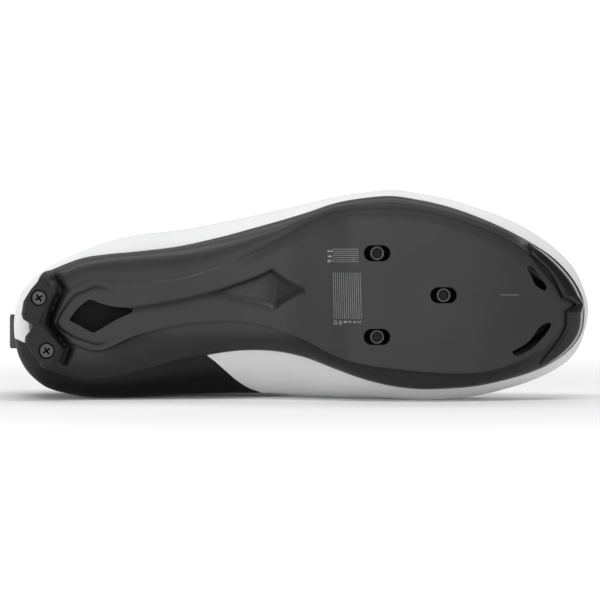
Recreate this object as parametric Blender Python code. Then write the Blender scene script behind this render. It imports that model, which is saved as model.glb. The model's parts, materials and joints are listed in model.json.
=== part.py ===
# Road cycling shoe for the right foot, lying on its medial side.
#
# The shoe is drawn standing: x runs from heel to toe, side is positive to the
# lateral side, height is measured from the ground under the heel pad and the
# ball. All lengths are metres. At the end the whole shoe is turned on its
# medial side, so that the sole faces -Y and the lateral side faces +Z.

import math

import bmesh
import bpy
import numpy as np
from mathutils import Matrix, Vector

for thing in list(bpy.data.objects):
    bpy.data.objects.remove(thing, do_unlink=True)

# Driving sizes of the last
lastLength = 0.280
ballWidth = 0.1036
instepHeight = 0.099
heelHeight = 0.078
toeSpring = 0.020
archRise = 0.0075
heelLift = 0.0088

# Driving sizes of the sole and the upper
plateThickness = 0.006
cupFlare = 0.008
rimLip = 0.0013
seatGap = 0.0003
layerGap = 0.0005
upperWall = 0.0018
lastingMargin = 0.008
collarHalfWidth = 0.0375
collarBackReach = 0.0365
collarFlare = 0.0026
collarFlareStart = 0.5
collarFlareEnd = 0.40
cupFullness = 1.6
sideFullness = 2.0
plateauStepRun = 0.0014
plateauStepRise = 0.0018

# Driving sizes of the small pieces
insoleThickness = 0.003
insoleInset = 0.0012
tongueThickness = 0.003
tongueHalfWidth = 0.029
tongueGap = 0.0014
strapThickness = 0.0016
slotLength = 0.0133
slotWidth = 0.0081
slotDepth = 0.0044
boltRowSpacing = 0.0415
boltRowToFront = 0.033
boltRowAlong = 0.1748
boltCentreSide = 0.0099
nutBossRadius = 0.0033
nutBoreRadius = 0.0022
nutPlateThickness = 0.0014
nutBossHeight = 0.0018
slotClearance = 0.0003
padScrewHeadRadius = 0.0033
padScrewHeadHeight = 0.0022
padScrewSink = 0.0018
padScrewShankRadius = 0.0017
padScrewLength = 0.0105
padBoreClearance = 0.0009
shankClearance = 0.0003
padChamfer = 0.0012
channelDepth = 0.0013
bumperThickness = 0.0014
bumperWidth = 0.0082
bumperEdgeInset = 0.0014
bumperStart = 1.155
bumperEnd = 1.815
notchPlace = 0.51
notchHalfShare = 0.035
notchDepth = 0.0040
loopWidth = 0.017
loopThickness = 0.0013
loopReach = 0.0068
loopSide = -0.0085
loopLow = 0.047
loopHigh = 0.069
loopFoot = 0.006

# Places of the fan centres at heel and toe, as shares of the length
heelFanAlong = 0.136
toeFanAlong = 0.843

# Plan outlines, one row for each section. Along is a share of the length, the
# side distances are shares of the ball width, medial ones positive too.
planColumns = ("along", "upperLateral", "upperMedial", "soleLateral", "soleMedial")
planRows = (
    (0.025, 0.225, 0.296, 0.177, 0.232),
    (0.050, 0.270, 0.350, 0.218, 0.273),
    (0.100, 0.323, 0.392, 0.270, 0.311),
    (0.150, 0.358, 0.399, 0.291, 0.305),
    (0.200, 0.386, 0.397, 0.304, 0.276),
    (0.275, 0.409, 0.386, 0.330, 0.220),
    (0.350, 0.448, 0.378, 0.376, 0.182),
    (0.400, 0.476, 0.376, 0.413, 0.170),
    (0.450, 0.506, 0.376, 0.451, 0.177),
    (0.500, 0.537, 0.379, 0.492, 0.207),
    (0.550, 0.569, 0.383, 0.537, 0.259),
    (0.600, 0.589, 0.389, 0.561, 0.307),
    (0.650, 0.602, 0.398, 0.571, 0.340),
    (0.700, 0.585, 0.406, 0.552, 0.355),
    (0.750, 0.559, 0.402, 0.521, 0.352),
    (0.800, 0.518, 0.387, 0.475, 0.340),
    (0.850, 0.470, 0.356, 0.417, 0.312),
    (0.900, 0.402, 0.313, 0.345, 0.272),
    (0.940, 0.326, 0.263, 0.271, 0.221),
    (0.971, 0.241, 0.201, 0.181, 0.154),
    (0.989, 0.154, 0.121, 0.092, 0.077),
)
upperHeelEnd = (0.000, -0.024)
upperToeEnd = (1.001, 0.024)
soleHeelEnd = (0.006, -0.026)
soleToeEnd = (0.9935, 0.018)

# The flat tread of the plate, inside its soft ridge.
plateauColumns = ("along", "lateral", "medial")
plateauRows = (
    (0.075, 0.095, 0.120),
    (0.100, 0.133, 0.150),
    (0.125, 0.159, 0.170),
    (0.150, 0.146, 0.156),
    (0.200, 0.146, 0.096),
    (0.275, 0.166, 0.045),
    (0.350, 0.226, 0.028),
    (0.400, 0.286, 0.034),
    (0.450, 0.352, 0.069),
    (0.500, 0.432, 0.125),
    (0.550, 0.487, 0.195),
    (0.600, 0.502, 0.236),
    (0.650, 0.502, 0.256),
    (0.700, 0.492, 0.270),
    (0.750, 0.462, 0.278),
    (0.800, 0.418, 0.276),
    (0.850, 0.362, 0.248),
    (0.900, 0.272, 0.188),
    (0.932, 0.185, 0.125),
)
plateauHeelEnd = (0.046, -0.042)
plateauToeEnd = (0.950, 0.040)

# Side view of the sole. The three shares go with heelLift, archRise and toeSpring.
profileColumns = ("along", "heel", "arch", "toe", "step")
profileRows = (
    (-0.05, 1.00, 0.00, 0.00, 1.00),
    (0.10, 1.00, 0.00, 0.00, 1.00),
    (0.20, 0.97, 0.22, 0.00, 0.80),
    (0.30, 0.82, 0.72, 0.00, 0.45),
    (0.38, 0.62, 1.00, 0.00, 0.35),
    (0.46, 0.37, 0.88, 0.00, 0.35),
    (0.53, 0.15, 0.40, 0.00, 0.35),
    (0.59, 0.00, 0.00, 0.00, 0.35),
    (0.66, 0.00, 0.00, 0.00, 0.35),
    (0.72, 0.00, 0.00, 0.00, 0.35),
    (0.78, 0.00, 0.00, 0.09, 0.35),
    (0.85, 0.00, 0.00, 0.29, 0.35),
    (0.92, 0.00, 0.00, 0.59, 0.35),
    (1.00, 0.00, 0.00, 1.00, 0.35),
    (1.05, 0.00, 0.00, 1.27, 0.35),
)

# Side view of the last. Bulge is the rise from the feather line to the widest
# level as a share of the heel height, crown the height of the top line as a
# share of the instep height. Behind the tongue the crown is over open air.
crownColumns = ("along", "bulge", "crown", "fullness")
crownRows = (
    (-0.05, 0.15, 1.40, 2.3),
    (0.02, 0.15, 1.33, 2.3),
    (0.07, 0.16, 1.19, 2.3),
    (0.14, 0.18, 1.00, 2.3),
    (0.23, 0.22, 0.90, 2.3),
    (0.29, 0.26, 1.00, 2.3),
    (0.33, 0.28, 1.12, 2.3),
    (0.40, 0.29, 1.00, 2.3),
    (0.46, 0.28, 0.885, 2.4),
    (0.53, 0.24, 0.785, 2.3),
    (0.61, 0.20, 0.680, 2.25),
    (0.68, 0.165, 0.615, 2.2),
    (0.75, 0.155, 0.562, 2.2),
    (0.82, 0.15, 0.522, 2.2),
    (0.88, 0.145, 0.500, 2.2),
    (0.94, 0.14, 0.485, 2.2),
    (1.02, 0.135, 0.478, 2.2),
)

# Collar edge behind the throat, heights as shares of the heel height.
collarColumns = ("along", "lateral", "medial")
collarRows = (
    (-0.02, 1.00, 1.00),
    (0.04, 0.985, 0.985),
    (0.08, 0.935, 0.935),
    (0.14, 0.850, 0.870),
    (0.19, 0.800, 0.830),
    (0.24, 0.795, 0.825),
    (0.29, 0.860, 0.880),
    (0.33, 0.970, 0.980),
    (0.37, 1.100, 1.105),
    (0.41, 1.215, 1.215),
)

# Throat edge, half width as a share of the ball width.
throatColumns = ("along", "half")
throatRows = (
    (0.39, 0.165),
    (0.45, 0.155),
    (0.51, 0.140),
    (0.56, 0.120),
    (0.59, 0.090),
    (0.615, 0.0),
)
collarToThroat = 0.405
throatFront = 0.615

# Grid counts
sideStations = 22
toeStations = 16
heelStations = 18
rimRows = 3
cupRows = 3
domeRows = 8
treadRows = 5


def softCurve(along, values, count=600):
    """Evenly spaced samples of a smooth curve through a table's column."""
    rates = np.diff(values) / np.diff(along)
    back = np.concatenate((rates[:1], rates))
    front = np.concatenate((rates, rates[-1:]))
    alike = back * front > 0
    slopes = np.where(alike, 2 * back * front / np.where(alike, back + front, 1.0), 0.0)
    places = np.linspace(along[0], along[-1], count)
    index = np.clip(np.searchsorted(along, places) - 1, 0, len(along) - 2)
    span = along[index + 1] - along[index]
    t = (places - along[index]) / span
    start = (2 * t**3 - 3 * t**2 + 1) * values[index]
    end = (3 * t**2 - 2 * t**3) * values[index + 1]
    bend = (t**3 - 2 * t**2 + t) * slopes[index] + (t**3 - t**2) * slopes[index + 1]
    return start + end + span * bend


def byName(columns, rows):
    """A table as raw columns, and as smooth columns sampled along the shoe."""
    values = np.array(rows, dtype=float)
    along = values[:, 0] * lastLength
    table = {name: values[:, index] for index, name in enumerate(columns)}
    table["places"] = np.linspace(along[0], along[-1], 600)
    for index, name in enumerate(columns[1:], 1):
        table["smooth " + name] = softCurve(along, values[:, index])
    return table


plan = byName(planColumns, planRows)
plateau = byName(plateauColumns, plateauRows)
profile = byName(profileColumns, profileRows)
crown = byName(crownColumns, crownRows)
collar = byName(collarColumns, collarRows)
throat = byName(throatColumns, throatRows)


def smoothValue(table, column, x):
    return float(np.interp(x, table["places"], table["smooth " + column]))


def treadHeight(x):
    rise = heelLift * smoothValue(profile, "heel", x)
    rise += archRise * smoothValue(profile, "arch", x)
    return rise + toeSpring * smoothValue(profile, "toe", x)


def featherHeight(x):
    return treadHeight(x) + plateThickness


def bulgeHeight(x):
    return featherHeight(x) + heelHeight * smoothValue(crown, "bulge", x)


def crownHeight(x):
    return instepHeight * smoothValue(crown, "crown", x)


def smoothLoop(knots, steps=16):
    """A closed curve through hand-set points in plan."""
    knots = np.array(knots)
    count = len(knots)
    points = []
    for index in range(count):
        a, b, c, d = (knots[(index + shift) % count] for shift in (-1, 0, 1, 2))
        for step in range(steps):
            t = step / steps
            square = (2 * a - 5 * b + 4 * c - d) * t**2
            cube = (3 * b - a - 3 * c + d) * t**3
            points.append(0.5 * (2 * b + (c - a) * t + square + cube))
    return np.array(points)


def outline(table, lateral, medial, heelEnd, toeEnd):
    scale = np.array((lastLength, ballWidth))
    right = [(a, b) for a, b in zip(table["along"], table[lateral])]
    left = [(a, -b) for a, b in zip(table["along"], table[medial])]
    return smoothLoop([np.array(p) * scale for p in [heelEnd] + right + [toeEnd] + left[::-1]])


upperLoop = outline(plan, "upperLateral", "upperMedial", upperHeelEnd, upperToeEnd)
soleLoop = outline(plan, "soleLateral", "soleMedial", soleHeelEnd, soleToeEnd)
plateauLoop = outline(plateau, "lateral", "medial", plateauHeelEnd, plateauToeEnd)


def reach(loop, origin, direction):
    """How far a ray in plan runs from the axis to an outline."""
    start = loop - origin
    step = np.roll(loop, -1, axis=0) - loop
    cross = direction[0] * step[:, 1] - direction[1] * step[:, 0]
    cross = np.where(np.abs(cross) < 1e-12, 1e-12, cross)
    far = (start[:, 0] * step[:, 1] - start[:, 1] * step[:, 0]) / cross
    share = (start[:, 0] * direction[1] - start[:, 1] * direction[0]) / cross
    hits = far[(share >= -1e-6) & (share <= 1 + 1e-6) & (far > 0)]
    return float(hits.max())


def axisSide(x):
    """The middle line of the last in plan."""
    right = smoothValue(plan, "upperLateral", x)
    left = smoothValue(plan, "upperMedial", x)
    return 0.5 * (right - left) * ballWidth


class Station:
    """One upright cut through the shoe, from its middle line outwards."""

    def __init__(self, place):
        leg = int(place) % 4
        part = place - math.floor(place)
        low = heelFanAlong * lastLength
        high = toeFanAlong * lastLength
        if leg == 0:
            x, angle = low + part * (high - low), 90.0
        elif leg == 1:
            x, angle = high, 90.0 - 180.0 * part
        elif leg == 2:
            x, angle = high - part * (high - low), -90.0
        else:
            x, angle = low, -90.0 - 180.0 * part
        self.leg = leg
        self.x = x
        self.axis = np.array((x, axisSide(x)))
        self.direction = np.array((math.cos(math.radians(angle)), math.sin(math.radians(angle))))
        self.widest = reach(upperLoop, self.axis, self.direction)
        self.edge = reach(soleLoop, self.axis, self.direction)
        self.ridge = reach(plateauLoop, self.axis, self.direction)
        self.base = self.edge - cupFlare
        overhang = min(1.0, max(0.0, (self.widest - self.edge) / (0.2 * ballWidth)))
        self.fullness = cupFullness - 0.35 * overhang
        self.domeFullness = smoothValue(crown, "fullness", x)
        share = (cupFlare - rimLip - seatGap) / (self.widest - self.base)
        self.rimTurn = math.asin(min(1.0, share ** (self.fullness / 2)))

    def at(self, radius, height=None):
        spot = self.axis + self.direction * radius
        return np.array((spot[0], spot[1], 0.0 if height is None else height))

    def cup(self, turn):
        """Side wall from the feather line, turn 0, to the widest level, turn 90 degrees."""
        power = 2 / self.fullness
        radius = self.base + (self.widest - self.base) * math.sin(turn) ** power
        spot = self.at(radius)
        top = bulgeHeight(spot[0])
        spot[2] = top - (top - featherHeight(spot[0])) * max(math.cos(turn), 0.0) ** power
        return spot

    def dome(self, turn):
        """From the widest level, turn 0, over to the crown line, turn 90 degrees."""
        power = 2 / self.domeFullness
        radius = self.widest * max(math.cos(turn), 0.0) ** power
        spot = self.at(radius)
        low = bulgeHeight(spot[0])
        spot[2] = low + (crownHeight(spot[0]) - low) * math.sin(turn) ** power
        return spot

    def wall(self, share, edge):
        """The quarter between the widest level, share 0, and its edge, share 1."""
        spot = self.dome(share * edge)
        if self.leg == 3:
            turnIn = math.hypot(self.direction[0] / collarBackReach, self.direction[1] / collarHalfWidth)
            rounding = 1.0 / (turnIn * self.widest)
            ease = share**2 * (3 - 2 * share)
            spot[:2] = self.axis + (spot[:2] - self.axis) * (1 + ease * (min(1.0, rounding) - 1))
        rear = min(1.0, max(0.0, 3.0 * (1.0 - self.x / (collarFlareEnd * lastLength))))
        lift = max(0.0, (share - collarFlareStart) / (1.0 - collarFlareStart))
        flare = collarFlare * lift**2 * (3 - 2 * lift) * rear * self.direction[1] ** 2
        spot[:2] += self.direction * flare
        return spot

    def domeTurnAtRadius(self, radius):
        return math.acos(min(1.0, radius / self.widest) ** (self.domeFullness / 2))

    def edgeTurn(self):
        """The dome turn where the collar or throat edge lies."""
        if self.leg == 1:
            return math.pi / 2
        if self.leg in (0, 2) and self.x >= throatFront * lastLength - 1e-6:
            return math.pi / 2
        if self.leg in (0, 2) and self.x > collarToThroat * lastLength:
            half = max(0.0, smoothValue(throat, "half", self.x)) * ballWidth
            return self.domeTurnAtRadius(half)
        column = "lateral" if self.direction[1] > 0 else "medial"
        turn = 0.5
        for _ in range(12):
            spot = self.dome(turn)
            height = smoothValue(collar, column, spot[0]) * heelHeight
            low = bulgeHeight(spot[0])
            share = (height - low) / (crownHeight(spot[0]) - low)
            turn = math.asin(min(1.0, max(0.0, share)) ** (self.domeFullness / 2))
        return turn


def stationPlaces():
    places = [index / sideStations for index in range(sideStations)]
    places += [1 + index / toeStations for index in range(toeStations)]
    places += [2 + index / sideStations for index in range(sideStations)]
    places += [3 + index / heelStations for index in range(heelStations)]
    return places


stations = [Station(place) for place in stationPlaces()]


def steps(start, end, count):
    return [start + (end - start) * index / count for index in range(count + 1)]


# Mesh helpers


def shoeVector(point):
    """From length, side and height to the drawing frame, lateral at -Y."""
    return Vector((point[0], -point[1], point[2]))


def meshObject(name, builder, material):
    mesh = bpy.data.meshes.new(name)
    builder.to_mesh(mesh)
    builder.free()
    mesh.shade_smooth()
    mesh.set_sharp_from_angle(angle=math.radians(35))
    piece = bpy.data.objects.new(name, mesh)
    bpy.context.scene.collection.objects.link(piece)
    mesh.materials.append(material)
    return piece


def closeUp(builder):
    bmesh.ops.remove_doubles(builder, verts=builder.verts, dist=1e-6)
    bmesh.ops.dissolve_degenerate(builder, edges=builder.edges, dist=1e-6)
    bmesh.ops.recalc_face_normals(builder, faces=builder.faces)
    if builder.calc_volume(signed=True) < 0:
        bmesh.ops.reverse_faces(builder, faces=builder.faces)


def addGrid(builder, grid, around):
    """Quads through rows of points; around closes the rows on themselves."""
    rows = [[builder.verts.new(shoeVector(point)) for point in row] for row in grid]
    for lower, upper in zip(rows, rows[1:]):
        count = len(lower)
        for index in range(count if around else count - 1):
            after = (index + 1) % count
            builder.faces.new((lower[index], lower[after], upper[after], upper[index]))
    return rows


def slabFromGrids(name, outer, inner, material):
    """A closed plate between two grids of the same count of points."""
    builder = bmesh.new()
    outerRows = addGrid(builder, outer, False)
    innerRows = addGrid(builder, inner, False)
    borders = []
    for rows in (outerRows, innerRows):
        ring = list(rows[0]) + [row[-1] for row in rows[1:]]
        ring += list(reversed(rows[-1][:-1])) + [row[0] for row in reversed(rows[1:-1])]
        borders.append(ring)
    count = len(borders[0])
    for index in range(count):
        after = (index + 1) % count
        a, b = borders
        builder.faces.new((a[index], a[after], b[after], b[index]))
    closeUp(builder)
    return meshObject(name, builder, material)


def prism(name, points, low, high):
    """An upright cutter through an outline in plan."""
    builder = bmesh.new()
    bottom = [builder.verts.new(shoeVector((x, side, low))) for x, side in points]
    top = [builder.verts.new(shoeVector((x, side, high))) for x, side in points]
    builder.faces.new(bottom)
    builder.faces.new(top)
    for index in range(len(points)):
        after = (index + 1) % len(points)
        builder.faces.new((bottom[index], bottom[after], top[after], top[index]))
    closeUp(builder)
    return meshObject(name, builder, cutterMaterial)


def disc(name, x, side, radius, low, high, sides=20):
    points = []
    for index in range(sides):
        angle = 2 * math.pi * index / sides
        points.append((x + radius * math.cos(angle), side + radius * math.sin(angle)))
    return prism(name, points, low, high)


def combine(target, other, operation):
    step = target.modifiers.new(operation.lower() + "_" + other.name, "BOOLEAN")
    step.operation = operation
    step.solver = "EXACT"
    step.object = other
    other.hide_render = True
    other.display_type = "WIRE"


def plainMaterial(name, colour, roughness, metallic):
    material = bpy.data.materials.new(name)
    material.use_nodes = True
    shader = material.node_tree.nodes["Principled BSDF"]
    shader.inputs["Base Color"].default_value = (*colour, 1.0)
    shader.inputs["Roughness"].default_value = roughness
    shader.inputs["Metallic"].default_value = metallic
    material.diffuse_color = (*colour, 1.0)
    return material


cutterMaterial = plainMaterial("cutter", (1.0, 0.2, 0.2), 0.5, 0.0)
carbonPlate = plainMaterial("carbon_plate", (0.040, 0.040, 0.042), 0.42, 0.0)
glossRubber = plainMaterial("gloss_rubber", (0.010, 0.010, 0.011), 0.22, 0.0)
heelPolymer = plainMaterial("heel_polymer", (0.022, 0.022, 0.023), 0.55, 0.0)
darkSteel = plainMaterial("dark_steel", (0.050, 0.048, 0.046), 0.35, 1.0)
whiteMicrofibre = plainMaterial("white_microfibre", (0.78, 0.79, 0.80), 0.45, 0.0)
blackMicrofibre = plainMaterial("black_microfibre", (0.012, 0.012, 0.013), 0.40, 0.0)
insoleFoam = plainMaterial("insole_foam", (0.060, 0.062, 0.065), 0.90, 0.0)
blackWebbing = plainMaterial("black_webbing", (0.030, 0.030, 0.032), 0.80, 0.0)


# Upper


def upperRows():
    """Points of the outer skin, from the lasting margin up to the collar edge."""
    rows = []
    rows.append([cut.at(cut.base - lastingMargin) for cut in stations])
    for spot in rows[0]:
        spot[2] = featherHeight(spot[0])
    for share in steps(0.0, 1.0, rimRows):
        rows.append([cut.cup(share * cut.rimTurn) for cut in stations])
    for share in steps(0.0, 1.0, cupRows)[1:]:
        turns = [cut.rimTurn + share * (math.pi / 2 - cut.rimTurn) for cut in stations]
        rows.append([cut.cup(turn) for cut, turn in zip(stations, turns)])
    edges = [cut.edgeTurn() for cut in stations]
    for share in steps(0.0, 1.0, domeRows)[1:]:
        rows.append([cut.wall(share, edge) for cut, edge in zip(stations, edges)])
    return rows


def makeUpper():
    builder = bmesh.new()
    rows = addGrid(builder, upperRows(), True)
    widest = rows[1 + rimRows + cupRows]
    bmesh.ops.remove_doubles(builder, verts=builder.verts, dist=1e-5)
    bmesh.ops.recalc_face_normals(builder, faces=builder.faces)
    builder.normal_update()
    first = widest[sideStations // 2]
    if first.normal.y > 0:
        bmesh.ops.reverse_faces(builder, faces=builder.faces)
    piece = meshObject("upper", builder, whiteMicrofibre)
    wall = piece.modifiers.new("wall", "SOLIDIFY")
    wall.thickness = upperWall
    wall.offset = -1.0
    wall.use_even_offset = True
    wall.use_quality_normals = True
    return piece


# Outsole


def treadSpots(cut, radius):
    spot = cut.at(radius)
    spot[2] = treadHeight(spot[0])
    return spot


def rolledSide(cut, turn, offset=0.0):
    """The sole's side, from the rim lip at turn 0 to the tread's ridge foot at 90 degrees."""
    power = 2 / sideFullness
    rim = cut.cup(cut.rimTurn)
    foot = cut.ridge + plateauStepRun
    spot = cut.at(foot + (cut.edge - foot) * max(math.cos(turn), 0.0) ** power)
    low = treadHeight(spot[0]) + plateauStepRise * smoothValue(profile, "step", spot[0])
    spot[2] = rim[2] - (rim[2] - low) * math.sin(turn) ** power
    return spot + offset * np.array((*cut.direction * math.cos(turn), -math.sin(turn)))


def sideTurnAtRadius(cut, radius):
    foot = cut.ridge + plateauStepRun
    share = min(1.0, max(0.0, (radius - foot) / (cut.edge - foot)))
    return math.acos(share ** (sideFullness / 2))


def soleOuterRows(offset=0.0):
    """From the rim lip round the rolled side to the middle of the tread."""
    rows = []
    for turn in steps(0.0, math.pi / 2, treadRows):
        rows.append([rolledSide(cut, turn, offset) for cut in stations])
    for share in (1.0, 0.5, 0.0):
        rows.append([treadSpots(cut, cut.ridge * share) - (0, 0, offset) for cut in stations])
    return rows


def soleInnerRows():
    """From the rim lip down the cup to the middle of the foot bed."""
    rows = []
    for share in steps(1.0, 0.0, rimRows):
        row = []
        for cut in stations:
            turn = share * cut.rimTurn
            spot = cut.cup(turn)
            ahead = cut.cup(turn + 0.02) - cut.cup(max(turn - 0.02, 0.0))
            run = float(np.dot(ahead[:2], cut.direction))
            size = math.hypot(run, ahead[2])
            away = np.array((*cut.direction * ahead[2] / size, -run / size))
            row.append(spot + seatGap * away)
        rows.append(row)
    for share in (0.7, 0.35, 0.0):
        row = []
        for cut in stations:
            spot = cut.at(cut.base * share)
            spot[2] = featherHeight(spot[0]) - seatGap
            row.append(spot)
        rows.append(row)
    return rows


def makeSoleBody(name):
    builder = bmesh.new()
    outer = addGrid(builder, soleOuterRows(), True)
    inner = addGrid(builder, soleInnerRows(), True)
    count = len(stations)
    for index in range(count):
        after = (index + 1) % count
        builder.faces.new((outer[0][index], outer[0][after], inner[0][after], inner[0][index]))
    closeUp(builder)
    return meshObject(name, builder, carbonPlate)


def soleBlock(name, offset, lidRise):
    """The sole's outer form grown by an offset, filled up to a lid."""
    builder = bmesh.new()
    outer = soleOuterRows(offset)
    lids = []
    for share in (0.0, 0.5, 1.0):
        lid = []
        for cut, spot in zip(stations, outer[0]):
            centre = cut.axis + (spot[:2] - cut.axis) * share
            lid.append(np.array((centre[0], centre[1], spot[2] + lidRise)))
        lids.append(lid)
    addGrid(builder, lids + outer, True)
    closeUp(builder)
    return meshObject(name, builder, cutterMaterial)


def roundedSlot(x, side, length, width, sides=8):
    points = []
    for end, first in ((1, -90), (-1, 90)):
        for index in range(sides + 1):
            angle = math.radians(first + 180 * index / sides)
            centre = x + end * (length - width) / 2
            points.append((centre + width / 2 * math.cos(angle), side + width / 2 * math.sin(angle)))
    return points


boltPlaces = {
    "lateral": (boltRowAlong, boltCentreSide + boltRowSpacing / 2),
    "medial": (boltRowAlong, boltCentreSide - boltRowSpacing / 2),
    "front": (boltRowAlong + boltRowToFront, boltCentreSide),
}

# Heel vent, a through opening shaped like a leaf. Along and side as shares.
ventRows = (
    (0.0798, -0.0230),
    (0.0933, 0.0281),
    (0.1096, 0.0650),
    (0.1178, 0.0702),
    (0.1340, 0.0540),
    (0.1556, 0.0392),
    (0.1867, 0.0320),
    (0.1911, 0.0191),
    (0.1856, 0.0048),
    (0.1662, -0.0191),
    (0.1448, -0.0521),
    (0.1232, -0.0851),
    (0.1110, -0.0741),
    (0.0962, -0.0521),
    (0.0840, -0.0340),
)

# Shallow channel from the vent to a diamond in the waist: along, lateral edge, medial edge.
channelRows = (
    (0.188, 0.0310, 0.0080),
    (0.226, 0.0468, 0.0190),
    (0.276, 0.0721, 0.0470),
    (0.316, 0.0984, 0.0720),
    (0.344, 0.1190, 0.0750),
    (0.371, 0.1460, 0.0584),
    (0.4125, 0.1850, 0.0400),
    (0.4375, 0.2190, 0.0230),
    (0.4420, 0.2080, 0.0160),
    (0.4905, 0.1260, 0.1250),
)

# Two slanted vents behind the toe rim, along and side as shares.
toeVentLateral = (
    (0.8900, 0.2337),
    (0.8996, 0.2317),
    (0.9088, 0.2007),
    (0.9226, 0.1495),
    (0.9251, 0.1314),
    (0.9212, 0.1185),
    (0.9056, 0.1443),
    (0.8982, 0.1864),
)
toeVentMedial = (
    (0.8651, -0.1811),
    (0.8699, -0.1940),
    (0.8819, -0.1864),
    (0.9035, -0.1500),
    (0.9212, -0.0989),
    (0.9327, -0.0497),
    (0.9286, -0.0349),
    (0.9130, -0.0569),
    (0.9010, -0.1027),
    (0.8874, -0.1386),
    (0.8658, -0.1720),
)


def scaled(rows):
    return [(along * lastLength, side * ballWidth) for along, side in rows]


def channelCutter():
    """Follows the tread at a set depth between two drawn edges."""
    builder = bmesh.new()
    rings = []
    for along, lateral, medial in channelRows:
        x = along * lastLength
        roof = treadHeight(x) + channelDepth
        floor = -0.01
        corners = ((lateral, floor), (lateral, roof), (medial, roof), (medial, floor))
        points = [shoeVector((x, side * ballWidth, height)) for side, height in corners]
        rings.append([builder.verts.new(point) for point in points])
    for back, front in zip(rings, rings[1:]):
        for index in range(4):
            after = (index + 1) % 4
            builder.faces.new((back[index], back[after], front[after], front[index]))
    builder.faces.new(rings[0])
    builder.faces.new(rings[-1])
    closeUp(builder)
    return meshObject("channel_cutter", builder, cutterMaterial)


padScrewPlaces = {"lateral": (0.0254, 0.0792), "medial": (0.0393, -0.1737)}


def makeOutsole():
    piece = makeSoleBody("outsole")
    deep = lastLength
    combine(piece, channelCutter(), "DIFFERENCE")
    combine(piece, prism("vent_cutter", scaled(ventRows), -0.01, deep), "DIFFERENCE")
    combine(piece, prism("toe_vent_lateral_cutter", scaled(toeVentLateral), -0.01, deep), "DIFFERENCE")
    combine(piece, prism("toe_vent_medial_cutter", scaled(toeVentMedial), -0.01, deep), "DIFFERENCE")
    for name, (x, side) in boltPlaces.items():
        shape = roundedSlot(x, side, slotLength, slotWidth)
        top = treadHeight(x) + slotDepth
        combine(piece, prism("slot_" + name + "_cutter", shape, -0.01, top), "DIFFERENCE")
    for name, (along, side) in padScrewPlaces.items():
        x = along * lastLength
        top = padScrewSink + padScrewLength + shankClearance
        radius = padScrewShankRadius + shankClearance
        hole = disc("screw_hole_" + name + "_cutter", x, side * ballWidth, radius, -0.01, top, 12)
        combine(piece, hole, "DIFFERENCE")
    return piece


# Cleat nuts in the three slots


def makeNut(name, x, side):
    floor = treadHeight(x) + slotDepth - seatGap
    low = floor - nutPlateThickness
    shape = roundedSlot(x, side, slotLength - 2 * slotClearance, slotWidth - 2 * slotClearance)
    piece = prism("cleat_nut_" + name, shape, low, floor)
    piece.data.materials[0] = darkSteel
    boss = disc("boss_" + name + "_cutter", x, side, nutBossRadius, low - nutBossHeight, low + 0.0004)
    bore = disc("bore_" + name + "_cutter", x, side, nutBoreRadius, low - 0.01, floor + 0.01)
    combine(piece, boss, "UNION")
    combine(piece, bore, "DIFFERENCE")
    return piece


# Heel pad and its two screws

padRows = (
    (0.0286, 0.1757),
    (0.0110, 0.1197),
    (-0.0021, 0.0618),
    (-0.0054, 0.0029),
    (-0.0029, -0.0222),
    (0.0171, -0.0550),
    (0.0014, -0.1062),
    (0.0004, -0.1361),
    (0.0111, -0.1873),
    (0.0289, -0.2346),
    (0.0478, -0.2490),
    (0.0664, -0.1593),
    (0.0461, -0.0994),
    (0.0279, -0.0415),
    (0.0393, 0.0319),
    (0.0532, 0.1014),
)


def makeHeelPad():
    top = featherHeight(0.0) + 0.3 * plateThickness
    piece = prism("heel_pad", scaled(padRows), 0.0, top)
    piece.data.materials[0] = heelPolymer
    softened = bmesh.new()
    softened.from_mesh(piece.data)
    edges = [edge for edge in softened.edges if all(vert.co.z < 1e-6 for vert in edge.verts)]
    bmesh.ops.bevel(softened, geom=edges, offset=padChamfer, segments=1, affect="EDGES")
    bmesh.ops.recalc_face_normals(softened, faces=softened.faces)
    softened.to_mesh(piece.data)
    softened.free()
    combine(piece, soleBlock("heel_seat_cutter", seatGap, 0.02), "DIFFERENCE")
    for name, (along, side) in padScrewPlaces.items():
        x = along * lastLength
        y = side * ballWidth
        seat = padScrewSink + padScrewHeadHeight + seatGap
        wide = padScrewHeadRadius + padBoreClearance
        narrow = padScrewShankRadius + shankClearance
        sink = disc("sink_" + name + "_cutter", x, y, wide, -0.01, seat)
        shank = disc("shank_" + name + "_cutter", x, y, narrow, -0.01, 0.03, 12)
        combine(piece, sink, "DIFFERENCE")
        combine(piece, shank, "DIFFERENCE")
    return piece


def makePadScrew(name, along, side):
    x = along * lastLength
    y = side * ballWidth
    head = padScrewSink + padScrewHeadHeight
    piece = disc("heel_screw_" + name, x, y, padScrewHeadRadius, padScrewSink, head)
    piece.data.materials[0] = darkSteel
    tip = padScrewSink + padScrewLength
    shank = disc("screw_" + name + "_cutter", x, y, padScrewShankRadius, head - 0.0004, tip, 12)
    combine(piece, shank, "UNION")
    for turn, label in ((0.6, "a"), (0.6 + math.pi / 2, "b")):
        along2 = np.array((math.cos(turn), math.sin(turn)))
        across = np.array((-along2[1], along2[0]))
        half = 0.62 * padScrewHeadRadius
        thin = 0.14 * padScrewHeadRadius
        corners = [np.array((x, y)) + p * along2 + q * across
                   for p, q in ((-half, -thin), (half, -thin), (half, thin), (-half, thin))]
        cross = prism("cross_" + label + "_" + name + "_cutter", corners, 0.0, padScrewSink + 0.0011)
        combine(piece, cross, "DIFFERENCE")
    return piece


# Toe bumper


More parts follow.
